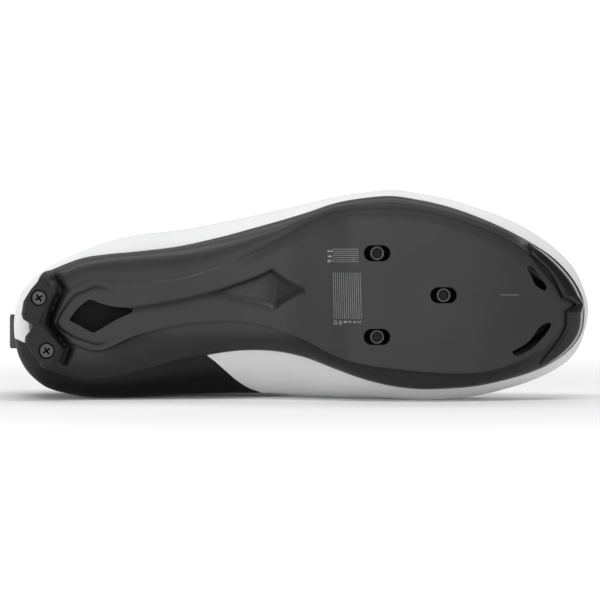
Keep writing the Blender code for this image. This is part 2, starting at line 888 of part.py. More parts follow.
def makeToeBumper():
    """A raised crescent on the rolled toe rim, with a notch at the tip."""
    outer = []
    inner = []
    for share in steps(0.0, 1.0, 32):
        cut = Station(bumperStart + share * (bumperEnd - bumperStart))
        taper = max(math.sin(math.pi * share), 0.05) ** 0.5
        notch = max(0.0, 1.0 - abs(share - notchPlace) / notchHalfShare)
        far = cut.edge - bumperEdgeInset - notchDepth * min(1.0, 1.6 * notch)
        near = cut.edge - bumperEdgeInset - bumperWidth * taper
        outerRow = []
        innerRow = []
        for part in steps(0.0, 1.0, 4):
            turn = sideTurnAtRadius(cut, far + part * (near - far))
            innerRow.append(rolledSide(cut, turn, seatGap))
            outerRow.append(rolledSide(cut, turn, seatGap + bumperThickness))
        outer.append(outerRow)
        inner.append(innerRow)
    return slabFromGrids("toe_bumper", outer, inner, glossRubber)


# Insole


def makeInsole():
    builder = bmesh.new()
    low = upperWall + layerGap
    rows = []
    for share, rise in ((0.0, low), (0.5, low), (1.0, low)):
        row = []
        for cut in stations:
            spot = cut.at((cut.base - insoleInset) * share)
            spot[2] = featherHeight(spot[0]) + rise
            row.append(spot)
        rows.append(row)
    for share in (1.0, 0.6, 0.0):
        row = []
        for cut in stations:
            spot = cut.at((cut.base - insoleInset) * share)
            dish = 0.0012 * share**2
            spot[2] = featherHeight(spot[0]) + low + insoleThickness - 0.0012 + dish
            row.append(spot)
        rows.append(row)
    addGrid(builder, rows, True)
    closeUp(builder)
    return meshObject("insole", builder, insoleFoam)


# Tongue and straps, plates that follow the last over the crown


def crownStation(x, lateral):
    low = heelFanAlong * lastLength
    high = toeFanAlong * lastLength
    part = (x - low) / (high - low)
    return Station(part if lateral else 3 - 1e-9 - part)


def overCrown(x, lift):
    """A point on the last at a place along, lift in metres across from the crown line."""
    cut = crownStation(x, lift >= 0)
    return cut.dome(cut.domeTurnAtRadius(min(abs(lift), cut.widest)))


def overCrownLifted(x, across, offset):
    nudge = 0.0015
    spot = overCrown(x, across)
    ahead = overCrown(x + nudge, across) - overCrown(x - nudge, across)
    beside = overCrown(x, across + nudge) - overCrown(x, across - nudge)
    normal = np.cross(ahead, beside)
    normal = normal / np.linalg.norm(normal)
    if normal[2] < 0:
        normal = -normal
    return spot + offset * normal


def crownPlate(name, xs, reachLateral, reachMedial, low, high, material, lean=0.0, across=12):
    outer = []
    inner = []
    for x in xs:
        outerRow = []
        innerRow = []
        for share in steps(-reachMedial, reachLateral, across):
            place = x + lean * share
            outerRow.append(overCrownLifted(place, share, high))
            innerRow.append(overCrownLifted(place, share, low))
        outer.append(outerRow)
        inner.append(innerRow)
    return slabFromGrids(name, outer, inner, material)


def makeTongue():
    top = 0.335 * lastLength
    front = 0.665 * lastLength
    high = -(upperWall + tongueGap)
    xs = steps(top, front, 12)
    return crownPlate("tongue", xs, tongueHalfWidth, tongueHalfWidth, high - tongueThickness,
                      high, blackMicrofibre)


def makeStrap(name, startShare, endShare, lateral, medial, lean):
    xs = steps(startShare * lastLength, endShare * lastLength, 3)
    return crownPlate(name, xs, lateral, medial, layerGap, layerGap + strapThickness,
                      whiteMicrofibre, lean, 16)


# Pull loop on the back of the heel


def heelBack(height, side):
    """Where the back of the upper lies at a height and a side distance."""
    sides = []
    backs = []
    for index in range(41):
        cut = Station(3.1 + 0.8 * index / 40)
        edge = cut.edgeTurn()
        low, high = 0.0, 1.0
        for _ in range(20):
            middle = 0.5 * (low + high)
            if cut.wall(middle, edge)[2] < height:
                low = middle
            else:
                high = middle
        spot = cut.wall(low, edge)
        sides.append(spot[1])
        backs.append(spot[0])
    return float(np.interp(side, sides, backs))


def loopRoute(side):
    """Side view of the loop's middle line: a foot, the free arch, a foot."""
    seat = layerGap + loopThickness / 2
    lowFoot = [(heelBack(height, side) - seat, height)
               for height in steps(loopLow - loopFoot, loopLow, 3)]
    highFoot = [(heelBack(height, side) - seat, height)
                for height in steps(loopHigh, loopHigh + loopFoot, 3)]
    middle = 0.5 * (loopLow + loopHigh)
    route = list(lowFoot)
    for share in steps(0.0, 1.0, 12)[1:-1]:
        turn = math.pi * share
        height = middle - (loopHigh - loopLow) / 2 * math.cos(turn)
        base = lowFoot[-1][0] + (highFoot[0][0] - lowFoot[-1][0]) * share
        far = loopThickness / 2 - loopReach
        route.append((base + (far - base) * math.sin(turn) ** 0.8, height))
    return np.array(route + highFoot)


def makePullLoop():
    half = loopThickness / 2
    outer = []
    inner = []
    for side in steps(loopSide - loopWidth / 2, loopSide + loopWidth / 2, 6):
        route = loopRoute(side)
        tangent = np.gradient(route, axis=0)
        tangent /= np.linalg.norm(tangent, axis=1)[:, None]
        away = np.stack((-tangent[:, 1], tangent[:, 0]), axis=1)
        outer.append([np.array((x, side, z)) for x, z in route + half * away])
        inner.append([np.array((x, side, z)) for x, z in route - half * away])
    return slabFromGrids("pull_loop", outer, inner, blackWebbing)


# Kilograms per cubic metre, for the balance of the lying shoe
plastic = 1100
rubber = 1200
leather = 900
fabric = 300
steel = 7850

pieces = {}


def keep(piece, density):
    pieces[piece.name] = (piece, density)


keep(makeOutsole(), plastic)
keep(makeUpper(), leather)
keep(makeInsole(), fabric)
keep(makeTongue(), leather)
keep(makeHeelPad(), rubber)
keep(makeToeBumper(), rubber)
for name, (x, side) in boltPlaces.items():
    keep(makeNut(name, x, side), steel)
for name, (along, side) in padScrewPlaces.items():
    keep(makePadScrew(name, along, side), steel)
keep(makeStrap("strap_lower", 0.515, 0.590, 0.037, 0.033, -0.10), leather)
keep(makeStrap("strap_upper", 0.405, 0.490, 0.036, 0.030, -0.12), leather)
keep(makePullLoop(), fabric)


# Laying the shoe down on its medial side


def shapeOf(piece, graph):
    mesh = piece.evaluated_get(graph).to_mesh()
    mesh.calc_loop_triangles()
    points = np.empty(len(mesh.vertices) * 3)
    mesh.vertices.foreach_get("co", points)
    points = points.reshape(-1, 3)
    corners = np.array([triangle.vertices[:] for triangle in mesh.loop_triangles])
    a, b, c = (points[corners[:, index]] for index in range(3))
    volumes = np.einsum("ij,ij->i", a, np.cross(b, c)) / 6
    centre = (volumes[:, None] * (a + b + c) / 4).sum(axis=0)
    return points, volumes.sum(), centre


def layDown():
    """The turn that brings the hull face under the mass centre to the floor."""
    graph = bpy.context.evaluated_depsgraph_get()
    clouds = []
    mass = 0.0
    moment = np.zeros(3)
    for piece, density in pieces.values():
        points, volume, centre = shapeOf(piece, graph)
        clouds.append(points)
        mass += density * volume
        moment += density * centre
    balance = Vector(moment / mass)
    cloud = np.concatenate(clouds)
    builder = bmesh.new()
    for point in cloud:
        builder.verts.new(point)
    hull = bmesh.ops.convex_hull(builder, input=builder.verts)
    medial = Vector((0, 1, 0))
    best = None
    for face in [item for item in hull["geom"] if isinstance(item, bmesh.types.BMFace)]:
        face.normal_update()
        normal = face.normal.copy()
        corners = [vert.co.copy() for vert in face.verts]
        if normal.dot(corners[0] - balance) < 0:
            normal = -normal
            corners.reverse()
        inside = all((b - a).cross(balance - a).dot(normal) >= 0
                     for a, b in zip(corners, corners[1:] + corners[:1]))
        if inside and (best is None or normal.dot(medial) > best.dot(medial)):
            best = normal
    builder.free()
    down = best.rotation_difference(Vector((0, 0, -1))).to_matrix()
    ahead = down @ Vector((1, 0, 0))
    spin = Matrix.Rotation(-math.atan2(ahead.y, ahead.x), 3, "Z")
    turn = spin @ down
    turned = cloud @ np.array(turn).T
    low = turned.min(axis=0)
    high = turned.max(axis=0)
    shift = Vector((-(low[0] + high[0]) / 2, -(low[1] + high[1]) / 2, -low[2]))
    return Matrix.Translation(shift) @ turn.to_4x4()


shoe = bpy.data.objects.new("shoe", None)
bpy.context.scene.collection.objects.link(shoe)
for thing in list(bpy.context.scene.objects):
    if thing is not shoe:
        thing.parent = shoe
shoe.matrix_world = layDown()
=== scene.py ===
import json
import math

import bmesh
import bpy
import numpy as np
from mathutils import Matrix, Vector


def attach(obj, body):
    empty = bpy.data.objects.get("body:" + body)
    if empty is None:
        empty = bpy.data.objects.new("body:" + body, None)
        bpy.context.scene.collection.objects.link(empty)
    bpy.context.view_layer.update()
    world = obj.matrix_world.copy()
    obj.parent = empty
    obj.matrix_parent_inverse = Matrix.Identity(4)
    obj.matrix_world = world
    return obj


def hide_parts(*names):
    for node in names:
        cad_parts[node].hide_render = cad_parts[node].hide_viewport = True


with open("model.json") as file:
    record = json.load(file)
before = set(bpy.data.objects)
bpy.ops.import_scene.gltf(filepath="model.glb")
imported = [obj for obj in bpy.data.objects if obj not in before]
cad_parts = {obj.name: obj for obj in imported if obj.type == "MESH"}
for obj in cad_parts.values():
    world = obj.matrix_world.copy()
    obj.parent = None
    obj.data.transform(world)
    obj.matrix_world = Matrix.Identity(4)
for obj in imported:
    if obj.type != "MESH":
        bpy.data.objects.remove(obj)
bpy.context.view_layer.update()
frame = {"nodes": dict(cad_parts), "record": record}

print("frame loaded")

# Sizes of the last and of the sole, in metres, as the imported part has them.
# Shoe points are length from the heel, side with lateral positive, and height.
last = {
    "length": 0.280,
    "ballWidth": 0.1036,
    "instepHeight": 0.099,
    "heelHeight": 0.078,
    "toeSpring": 0.020,
    "archRise": 0.0075,
    "heelLift": 0.0088,
    "plateThickness": 0.006,
    "cupFlare": 0.008,
    "rimLip": 0.0013,
    "gap": 0.0003,
    "upperWall": 0.0018,
    "lastingMargin": 0.008,
    "collarHalfWidth": 0.0375,
    "collarBackReach": 0.0365,
    "collarFlare": 0.0026,
    "collarFlareStart": 0.5,
    "collarFlareEnd": 0.40,
    "cupFullness": 1.6,
    "heelFan": 0.136,
    "toeFan": 0.843,
    "collarToThroat": 0.405,
    "throatFront": 0.615,
}
sole = {"ridgeRun": 0.0014, "ridgeRise": 0.0018, "sideFullness": 2.0}
# Cleat slots: the rear pair of bolts and the front one, with their steel nuts
cleat = {
    "slotLength": 0.0133, "slotWidth": 0.0081, "slotDepth": 0.0044,
    "rowAlong": 0.1748, "rowSpacing": 0.0415, "rowToFront": 0.033, "centreSide": 0.0099,
    "bossOuter": (0.0036, 0.0033), "bossInner": (0.0023, 0.0027),
}
boltPlaces = ((cleat["rowAlong"], cleat["centreSide"] + cleat["rowSpacing"] / 2),
              (cleat["rowAlong"], cleat["centreSide"] - cleat["rowSpacing"] / 2),
              (cleat["rowAlong"] + cleat["rowToFront"], cleat["centreSide"]))

# Rows of: along, then half widths of upper and sole, lateral and medial.
planRows = (
    (0.025, 0.198, 0.328, 0.177, 0.232), (0.050, 0.243, 0.363, 0.218, 0.273),
    (0.100, 0.307, 0.393, 0.270, 0.311), (0.150, 0.355, 0.399, 0.291, 0.305),
    (0.200, 0.386, 0.397, 0.304, 0.276), (0.275, 0.409, 0.386, 0.330, 0.220),
    (0.350, 0.448, 0.378, 0.376, 0.182), (0.400, 0.476, 0.376, 0.413, 0.170),
    (0.450, 0.506, 0.376, 0.451, 0.177), (0.500, 0.537, 0.379, 0.492, 0.207),
    (0.550, 0.569, 0.383, 0.537, 0.259), (0.600, 0.589, 0.389, 0.561, 0.307),
    (0.650, 0.602, 0.398, 0.571, 0.340), (0.700, 0.585, 0.406, 0.552, 0.355),
    (0.750, 0.559, 0.402, 0.521, 0.352), (0.800, 0.518, 0.387, 0.475, 0.340),
    (0.850, 0.470, 0.356, 0.417, 0.312), (0.900, 0.402, 0.313, 0.345, 0.272),
    (0.940, 0.326, 0.263, 0.271, 0.221), (0.971, 0.241, 0.201, 0.181, 0.154),
    (0.989, 0.154, 0.121, 0.092, 0.077),
)
planEnds = {
    "upperHeel": ((0.0000, -0.261), (-0.0161, -0.164), (-0.0204, -0.029),
                  (-0.0114, 0.084), (0.0000, 0.131), (0.0129, 0.173)),
    "upperToe": (1.001, 0.024),
    "soleHeel": ((0.006, -0.026),),
    "soleToe": (0.9935, 0.018),
}

# Rows of: along, then how far the flat tread goes, lateral and medial.
treadRows = (
    (0.075, 0.095, 0.120), (0.100, 0.133, 0.150), (0.125, 0.159, 0.170),
    (0.150, 0.146, 0.156), (0.200, 0.146, 0.096), (0.275, 0.166, 0.045),
    (0.350, 0.226, 0.028), (0.400, 0.286, 0.034), (0.450, 0.352, 0.069),
    (0.500, 0.432, 0.125), (0.550, 0.487, 0.195), (0.600, 0.502, 0.236),
    (0.650, 0.502, 0.256), (0.700, 0.492, 0.270), (0.750, 0.462, 0.278),
    (0.800, 0.418, 0.276), (0.850, 0.362, 0.248), (0.900, 0.272, 0.188),
    (0.932, 0.185, 0.125),
)
treadEnds = {"heel": ((0.046, -0.042),), "toe": (0.950, 0.040)}

# Rows of: along, then shares of heelLift, archRise, toeSpring and the ridge.
profileRows = (
    (-0.05, 1.00, 0.00, 0.00, 1.00), (0.10, 1.00, 0.00, 0.00, 1.00),
    (0.20, 0.97, 0.22, 0.00, 0.80), (0.30, 0.82, 0.72, 0.00, 0.45),
    (0.38, 0.62, 1.00, 0.00, 0.35), (0.46, 0.37, 0.88, 0.00, 0.35),
    (0.53, 0.15, 0.40, 0.00, 0.35), (0.59, 0.00, 0.00, 0.00, 0.35),
    (0.66, 0.00, 0.00, 0.00, 0.35), (0.72, 0.00, 0.00, 0.00, 0.35),
    (0.78, 0.00, 0.00, 0.09, 0.35), (0.85, 0.00, 0.00, 0.29, 0.35),
    (0.92, 0.00, 0.00, 0.59, 0.35), (1.00, 0.00, 0.00, 1.00, 0.35),
    (1.05, 0.00, 0.00, 1.27, 0.35),
)

# Rows of: along, rise of the widest level, crown height, fullness of the section.
crownRows = (
    (-0.05, 0.15, 1.40, 2.3), (0.02, 0.15, 1.33, 2.3), (0.07, 0.16, 1.19, 2.3),
    (0.14, 0.18, 1.00, 2.3), (0.23, 0.22, 0.90, 2.3), (0.29, 0.26, 1.00, 2.3),
    (0.33, 0.28, 1.12, 2.3), (0.40, 0.29, 1.00, 2.3), (0.46, 0.28, 0.885, 2.4),
    (0.53, 0.24, 0.785, 2.3), (0.61, 0.20, 0.680, 2.25), (0.68, 0.165, 0.615, 2.2),
    (0.75, 0.155, 0.562, 2.2), (0.82, 0.15, 0.522, 2.2), (0.88, 0.145, 0.500, 2.2),
    (0.94, 0.14, 0.485, 2.2), (1.02, 0.135, 0.478, 2.2),
)
collarRows = (
    (-0.02, 1.00, 1.00), (0.04, 0.985, 0.985), (0.08, 0.935, 0.935),
    (0.14, 0.850, 0.870), (0.19, 0.800, 0.830), (0.24, 0.795, 0.825),
    (0.29, 0.860, 0.880), (0.33, 0.970, 0.980), (0.37, 1.100, 1.105),
    (0.41, 1.215, 1.215),
)
throatRows = (
    (0.39, 0.165), (0.45, 0.155), (0.51, 0.140), (0.56, 0.120), (0.59, 0.090),
    (0.615, 0.0),
)


def smoothColumns(rows, count=2400):
    values = np.array(rows, dtype=float)
    along = values[:, 0] * last["length"]
    places = np.linspace(along[0], along[-1], count)
    index = np.clip(np.searchsorted(along, places) - 1, 0, len(along) - 2)
    span = along[index + 1] - along[index]
    t = (places - along[index]) / span
    columns = [places]
    for column in values.T[1:]:
        rates = np.diff(column) / np.diff(along)
        back = np.concatenate((rates[:1], rates))
        front = np.concatenate((rates, rates[-1:]))
        alike = back * front > 0
        slopes = np.where(alike, 2 * back * front / np.where(alike, back + front, 1.0), 0.0)
        start = (2 * t**3 - 3 * t**2 + 1) * column[index]
        end = (3 * t**2 - 2 * t**3) * column[index + 1]
        bend = (t**3 - 2 * t**2 + t) * slopes[index] + (t**3 - t**2) * slopes[index + 1]
        columns.append(start + end + span * bend)
    return columns


plan = smoothColumns(planRows)
profile = smoothColumns(profileRows)
crown = smoothColumns(crownRows)
collar = smoothColumns(collarRows)
throat = smoothColumns(throatRows)


def look(columns, index, x):
    return np.interp(x, columns[0], columns[index])


def treadHeight(x):
    rise = last["heelLift"] * look(profile, 1, x) + last["archRise"] * look(profile, 2, x)
    return rise + last["toeSpring"] * look(profile, 3, x)


def featherHeight(x):
    return treadHeight(x) + last["plateThickness"]


def bulgeHeight(x):
    return featherHeight(x) + last["heelHeight"] * look(crown, 1, x)


def crownHeight(x):
    return last["instepHeight"] * look(crown, 2, x)


def smoothLoop(knots, count=24):
    knots = np.array(knots, dtype=float)
    t = (np.arange(count) / count)[None, :, None]
    a, b, c, d = (np.roll(knots, -shift, axis=0)[:, None, :] for shift in (-1, 0, 1, 2))
    square = (2 * a - 5 * b + 4 * c - d) * t**2
    cube = (3 * b - a - 3 * c + d) * t**3
    return (0.5 * (2 * b + (c - a) * t + square + cube)).reshape(-1, 2)


def inPlan(rows):
    return np.array(rows, dtype=float) * (last["length"], last["ballWidth"])


def outline(rows, lateral, medial, heelEnd, toeEnd):
    right = [(row[0], row[lateral]) for row in rows]
    left = [(row[0], -row[medial]) for row in rows]
    return smoothLoop(inPlan(list(heelEnd) + right + [toeEnd] + left[::-1]))


upperLoop = outline(planRows, 1, 2, planEnds["upperHeel"], planEnds["upperToe"])
soleLoop = outline(planRows, 3, 4, planEnds["soleHeel"], planEnds["soleToe"])
treadLoop = outline(treadRows, 1, 2, treadEnds["heel"], treadEnds["toe"])


def reach(loop, origins, directions):
    start = loop[None] - origins[:, None]
    step = (np.roll(loop, -1, axis=0) - loop)[None]
    ray = directions[:, None]
    cross = ray[..., 0] * step[..., 1] - ray[..., 1] * step[..., 0]
    cross = np.where(np.abs(cross) < 1e-12, 1e-12, cross)
    far = (start[..., 0] * step[..., 1] - start[..., 1] * step[..., 0]) / cross
    share = (start[..., 0] * ray[..., 1] - start[..., 1] * ray[..., 0]) / cross
    return np.where((share >= -1e-6) & (share <= 1 + 1e-6) & (far > 0), far, -1.0).max(axis=1)


def soft(share):
    share = np.clip(share, 0.0, 1.0)
    return share * share * (3 - 2 * share)


def ramp(values, start, run):
    return soft((values - start) / run)


def bell(values, width):
    return np.exp(-(values / width) ** 2)


# Upright cuts through the shoe, from its middle line outwards. Place 0 to 1 runs
# along the lateral side, 1 to 2 round the toe, 2 to 3 back, 3 to 4 round the heel.
class Cuts:
    def __init__(self, places):
        places = np.asarray(places, dtype=float)
        leg = places.astype(int) % 4
        part = places - np.floor(places)
        low = last["heelFan"] * last["length"]
        high = last["toeFan"] * last["length"]
        self.leg = leg
        self.x = np.choose(leg, (low + part * (high - low), high + 0 * part,
                                 high - part * (high - low), low + 0 * part))
        angle = np.radians(np.choose(leg, (90 + 0 * part, 90 - 180 * part,
                                           -90 + 0 * part, -90 - 180 * part)))
        middle = 0.5 * (look(plan, 1, self.x) - look(plan, 2, self.x)) * last["ballWidth"]
        self.axis = np.stack((self.x, middle), axis=1)
        self.way = np.stack((np.cos(angle), np.sin(angle)), axis=1)
        self.widest = reach(upperLoop, self.axis, self.way)
        self.edge = reach(soleLoop, self.axis, self.way)
        self.ridge = reach(treadLoop, self.axis, self.way)
        self.base = self.edge - last["cupFlare"]
        overhang = np.clip((self.widest - self.edge) / (0.2 * last["ballWidth"]), 0.0, 1.0)
        self.fullness = last["cupFullness"] - 0.35 * overhang
        self.domeFullness = look(crown, 3, self.x)
        share = (last["cupFlare"] - last["rimLip"] - last["gap"]) / (self.widest - self.base)
        self.rimTurn = np.arcsin(np.minimum(1.0, share ** (self.fullness / 2)))

    def at(self, radius):
        spots = self.axis + self.way * np.asarray(radius)[:, None]
        return np.column_stack((spots, np.zeros(len(spots))))

    def cup(self, turn):
        power = 2 / self.fullness
        spots = self.at(self.base + (self.widest - self.base) * np.sin(turn) ** power)
        top = bulgeHeight(spots[:, 0])
        fall = np.maximum(np.cos(turn), 0.0) ** power
        spots[:, 2] = top - (top - featherHeight(spots[:, 0])) * fall
        return spots

    def dome(self, turn):
        power = 2 / self.domeFullness
        spots = self.at(self.widest * np.maximum(np.cos(turn), 0.0) ** power)
        low = bulgeHeight(spots[:, 0])
        spots[:, 2] = low + (crownHeight(spots[:, 0]) - low) * np.sin(turn) ** power
        return spots

    def wall(self, share, edge):
        spots = self.dome(share * edge)
        turnIn = np.hypot(self.way[:, 0] / last["collarBackReach"],
                          self.way[:, 1] / last["collarHalfWidth"])
        rounding = np.minimum(1.0, 1.0 / (turnIn * self.widest))
        ease = np.where(self.leg == 3, soft(share), 0.0)
        pull = (1 + ease * (rounding - 1))[:, None]
        spots[:, :2] = self.axis + (spots[:, :2] - self.axis) * pull
        rear = np.clip(3.0 * (1.0 - self.x / (last["collarFlareEnd"] * last["length"])), 0, 1)
        start = last["collarFlareStart"]
        flare = last["collarFlare"] * soft((share - start) / (1 - start)) * rear
        spots[:, :2] += self.way * (flare * self.way[:, 1] ** 2)[:, None]
        return spots

    def domeTurnAtRadius(self, radius):
        return np.arccos(np.minimum(1.0, radius / self.widest) ** (self.domeFullness / 2))

    def edgeTurn(self):
        lateral = self.way[:, 1] > 0
        turn = np.full(len(self.x), 0.5)
        for _ in range(12):
            spots = self.dome(turn)
            height = np.where(lateral, look(collar, 1, spots[:, 0]), look(collar, 2, spots[:, 0]))
            low = bulgeHeight(spots[:, 0])
            share = (height * last["heelHeight"] - low) / (crownHeight(spots[:, 0]) - low)
            turn = np.arcsin(np.clip(share, 0.0, 1.0) ** (self.domeFullness / 2))
        side = (self.leg == 0) | (self.leg == 2)
        half = np.maximum(0.0, look(throat, 1, self.x)) * last["ballWidth"]
        inThroat = side & (self.x > last["collarToThroat"] * last["length"])
        turn = np.where(inThroat, self.domeTurnAtRadius(half), turn)
        closed = side & (self.x >= last["throatFront"] * last["length"] - 1e-6)
        return np.where(closed | (self.leg == 1), math.pi / 2, turn)


def placesAround(sideCount, toeCount, heelCount):
    counts = (sideCount, toeCount, sideCount, heelCount)
    return np.concatenate([leg + np.arange(count) / count for leg, count in enumerate(counts)])


# Where the shoe lies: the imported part's own mounts give its place and turn.
def placement():
    mounts = {mount["name"]: mount for mount in frame["record"]["mounts"]}
    ball = Vector(mounts["cleat_seat"]["pos_m"])
    heel = Vector(mounts["heel_pad_face"]["pos_m"])
    up = -Vector(mounts["cleat_seat"]["axis"]).normalized()
    ballSpot = Vector((0.1853, -0.0099, 0.0))
    heelSpot = Vector((0.0040, -0.0060, 0.0))
    ahead = (ball - heel) - up * (ball - heel).dot(up)
    ahead.normalize()
    beside = up.cross(ahead)
    drawn = ballSpot - heelSpot
    angle = math.atan2(drawn.y, drawn.x)
    xAxis = ahead * math.cos(angle) - beside * math.sin(angle)
    yAxis = up.cross(xAxis)
    turn = Matrix((xAxis, yAxis, up)).transposed()
    return turn, ball - turn @ ballSpot


shoeTurn, shoeShift = placement()
turnArray = np.array(shoeTurn)
shiftArray = np.array(shoeShift)


def toRow(points):
    points = np.asarray(points, dtype=float)
    return (points * (1, -1, 1)) @ turnArray.T + shiftArray


def linked(name, data):
    thing = bpy.data.objects.new(name, data)
    bpy.context.scene.collection.objects.link(thing)
    return thing


def setValues(mesh, name, values):
    values = np.asarray(values, dtype=np.float32)
    mesh.attributes.new(name, "FLOAT", "POINT").data.foreach_set("value", values)


def dress(mesh, *materials):
    mesh.materials.clear()
    for material in materials:
        mesh.materials.append(material)


# Mesh helpers: grids of shoe points become pieces in the row frame.
def finishPiece(name, points, faces, material, slot=None, stands=(), smooth=40.0):
    mesh = bpy.data.meshes.new(name)
    mesh.from_pydata([tuple(point) for point in toRow(points)], [], faces)
    builder = bmesh.new()
    builder.from_mesh(mesh)
    bmesh.ops.remove_doubles(builder, verts=builder.verts, dist=1e-6)
    bmesh.ops.dissolve_degenerate(builder, edges=builder.edges, dist=1e-7)
    bmesh.ops.recalc_face_normals(builder, faces=builder.faces)
    builder.to_mesh(mesh)
    builder.free()
    mesh.shade_smooth()
    mesh.set_sharp_from_angle(angle=math.radians(smooth))
    piece = linked(name, mesh)
    if material is not None:
        dress(mesh, material)
    if slot is not None:
        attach(piece, "root")
    if stands:
        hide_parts(*stands)
    return piece


def gridFaces(rows, columns, around, first=0):
    faces = []
    for row in range(rows - 1):
        base = first + row * columns
        for index in range(columns if around else columns - 1):
            after = (index + 1) % columns
            faces.append((base + index, base + after,
                          base + columns + after, base + columns + index))
    return faces


# Values given at shoe points become an attribute of the piece's vertices.
def valueAt(piece, name, points, values):
    places = {tuple(np.round(spot, 6)): value for spot, value in zip(toRow(points), values)}
    found = [places.get(tuple(np.round(np.array(vert.co), 6)), 0.0) for vert in piece.data.vertices]
    setValues(piece.data, name, found)


def plateFromGrids(name, outer, inner, material, slot=None, stands=(), smooth=40.0):
    outer = np.asarray(outer)
    inner = np.asarray(inner)
    rows, columns = outer.shape[:2]
    count = rows * columns
    faces = gridFaces(rows, columns, False) + gridFaces(rows, columns, False, count)
    ring = list(range(columns)) + [row * columns + columns - 1 for row in range(1, rows)]
    ring += [(rows - 1) * columns + index for index in range(columns - 2, -1, -1)]
    ring += [row * columns for row in range(rows - 2, 0, -1)]
    for index, here in enumerate(ring):
        after = ring[(index + 1) % len(ring)]
        faces.append((here, after, after + count, here + count))
    points = np.concatenate((outer.reshape(-1, 3), inner.reshape(-1, 3)))
    return finishPiece(name, points, faces, material, slot, stands, smooth)


def prismPiece(name, points, low, high):
    points = np.asarray(points)
    count = len(points)
    bottom = np.column_stack((points, np.full(count, low)))
    top = np.column_stack((points, np.full(count, high)))
    faces = [tuple(range(count)), tuple(range(count, 2 * count))]
    for index in range(count):
        after = (index + 1) % count
        faces.append((index, after, count + after, count + index))
    return finishPiece(name, np.concatenate((bottom, top)), faces, None)


def joinMeshes(name, parts):
    builder = bmesh.new()
    for part in parts:
        builder.from_mesh(part.data)
        bpy.data.objects.remove(part)
    mesh = bpy.data.meshes.new(name)
    builder.to_mesh(mesh)
    builder.free()
    return bpy.data.objects.new(name, mesh)


def cutOut(piece, cutter, smooth=40.0):
    bpy.context.scene.collection.objects.link(cutter)
    cut = piece.modifiers.new("cut", "BOOLEAN")
    cut.operation = "DIFFERENCE"
    cut.solver = "EXACT"
    cut.object = cutter
    graph = bpy.context.evaluated_depsgraph_get()
    mesh = bpy.data.meshes.new_from_object(piece.evaluated_get(graph))
    piece.modifiers.remove(cut)
    piece.data = mesh
    mesh.set_sharp_from_angle(angle=math.radians(smooth))
    bpy.data.objects.remove(cutter)


# Shader helpers: a wire is a socket that can be added and multiplied.
class Wire:
    def __init__(self, paint, socket):
        self.paint = paint
        self.socket = socket

    def math(self, operation, *others):
        return self.paint.math(operation, self, *others)

    def __add__(self, other):
        return self.math("ADD", other)

    def __radd__(self, other):
        return self.paint.math("ADD", other, self)

    def __sub__(self, other):
        return self.math("SUBTRACT", other)

    def __rsub__(self, other):
        return self.paint.math("SUBTRACT", other, self)

    def __mul__(self, other):
        return self.math("MULTIPLY", other)

    def __rmul__(self, other):
        return self.paint.math("MULTIPLY", other, self)

    def __pow__(self, other):
        return self.math("POWER", other)

    def band(self, low, high):
        return self.paint.band(self, low, high)


class Paint:
    def __init__(self, name, colour=(0.5, 0.5, 0.5), roughness=0.5, **fixed):
        self.material = bpy.data.materials.new(name)
        self.material.use_nodes = True
        self.tree = self.material.node_tree
        self.shader = self.tree.nodes["Principled BSDF"]
        self.shader.inputs["Base Color"].default_value = (*colour, 1.0)
        self.shader.inputs["Roughness"].default_value = roughness
        self.material.diffuse_color = (*colour, 1.0)
        for socket, value in fixed.items():
            self.shader.inputs[socket.replace("_", " ")].default_value = value

    def plug(self, socket, value):
        if isinstance(value, Wire):
            self.tree.links.new(value.socket, socket)
        elif isinstance(value, (tuple, list)) and socket.type == "RGBA" and len(value) == 3:
            socket.default_value = (*value, 1.0)
        else:
            socket.default_value = value

    def add(self, kind, settings=None, sockets=None, out=0):
        node = self.tree.nodes.new(kind)
        for key, value in (settings or {}).items():
            setattr(node, key, value)
        for key, value in (sockets or {}).items():
            self.plug(node.inputs[key], value)
        return Wire(self, node.outputs[out])

    def math(self, operation, *values):
        return self.add("ShaderNodeMath", {"operation": operation}, dict(enumerate(values)))

    def band(self, value, low, high):
        return self.add("ShaderNodeMapRange", {"interpolation_type": "SMOOTHSTEP"},
                        {"Value": value, "From Min": low, "From Max": high})

    def mix(self, factor, first, second):
        return self.add("ShaderNodeMix", {"data_type": "RGBA"}, {0: factor, 6: first, 7: second}, 2)

    def vector(self, operation, *values, out=0):
        return self.add("ShaderNodeVectorMath", {"operation": operation}, dict(enumerate(values)), out)

    def coords(self):
        return self.add("ShaderNodeTexCoord", out="Object")

    def shoeCoords(self):
        place = self.vector("SUBTRACT", self.coords(), tuple(shoeShift))
        axes = [shoeTurn.col[index] for index in range(3)]
        wires = [self.vector("DOT_PRODUCT", place, tuple(axis), out="Value") for axis in axes]
        return wires[0], 0 - wires[1], wires[2]

    def attribute(self, name):
        return self.add("ShaderNodeAttribute", {"attribute_name": name}, out="Fac")

    def noise(self, where, scale, detail=2.0, roughness=0.5):
        return self.add("ShaderNodeTexNoise", None,
                        {"Vector": where, "Scale": scale, "Detail": detail, "Roughness": roughness})

    def cells(self, where, scale):
        return self.add("ShaderNodeTexVoronoi", None, {"Vector": where, "Scale": scale})

    def stretch(self, where, scale):
        return self.vector("MULTIPLY", where, scale)

    def bump(self, height, distance, strength=1.0):
        self.finish(Normal=self.add("ShaderNodeBump", None, {
            "Height": height, "Distance": distance, "Strength": strength}))

    def finish(self, **sockets):
        for socket, value in sockets.items():
            self.plug(self.shader.inputs[socket.replace("_", " ")], value)
        return self.material


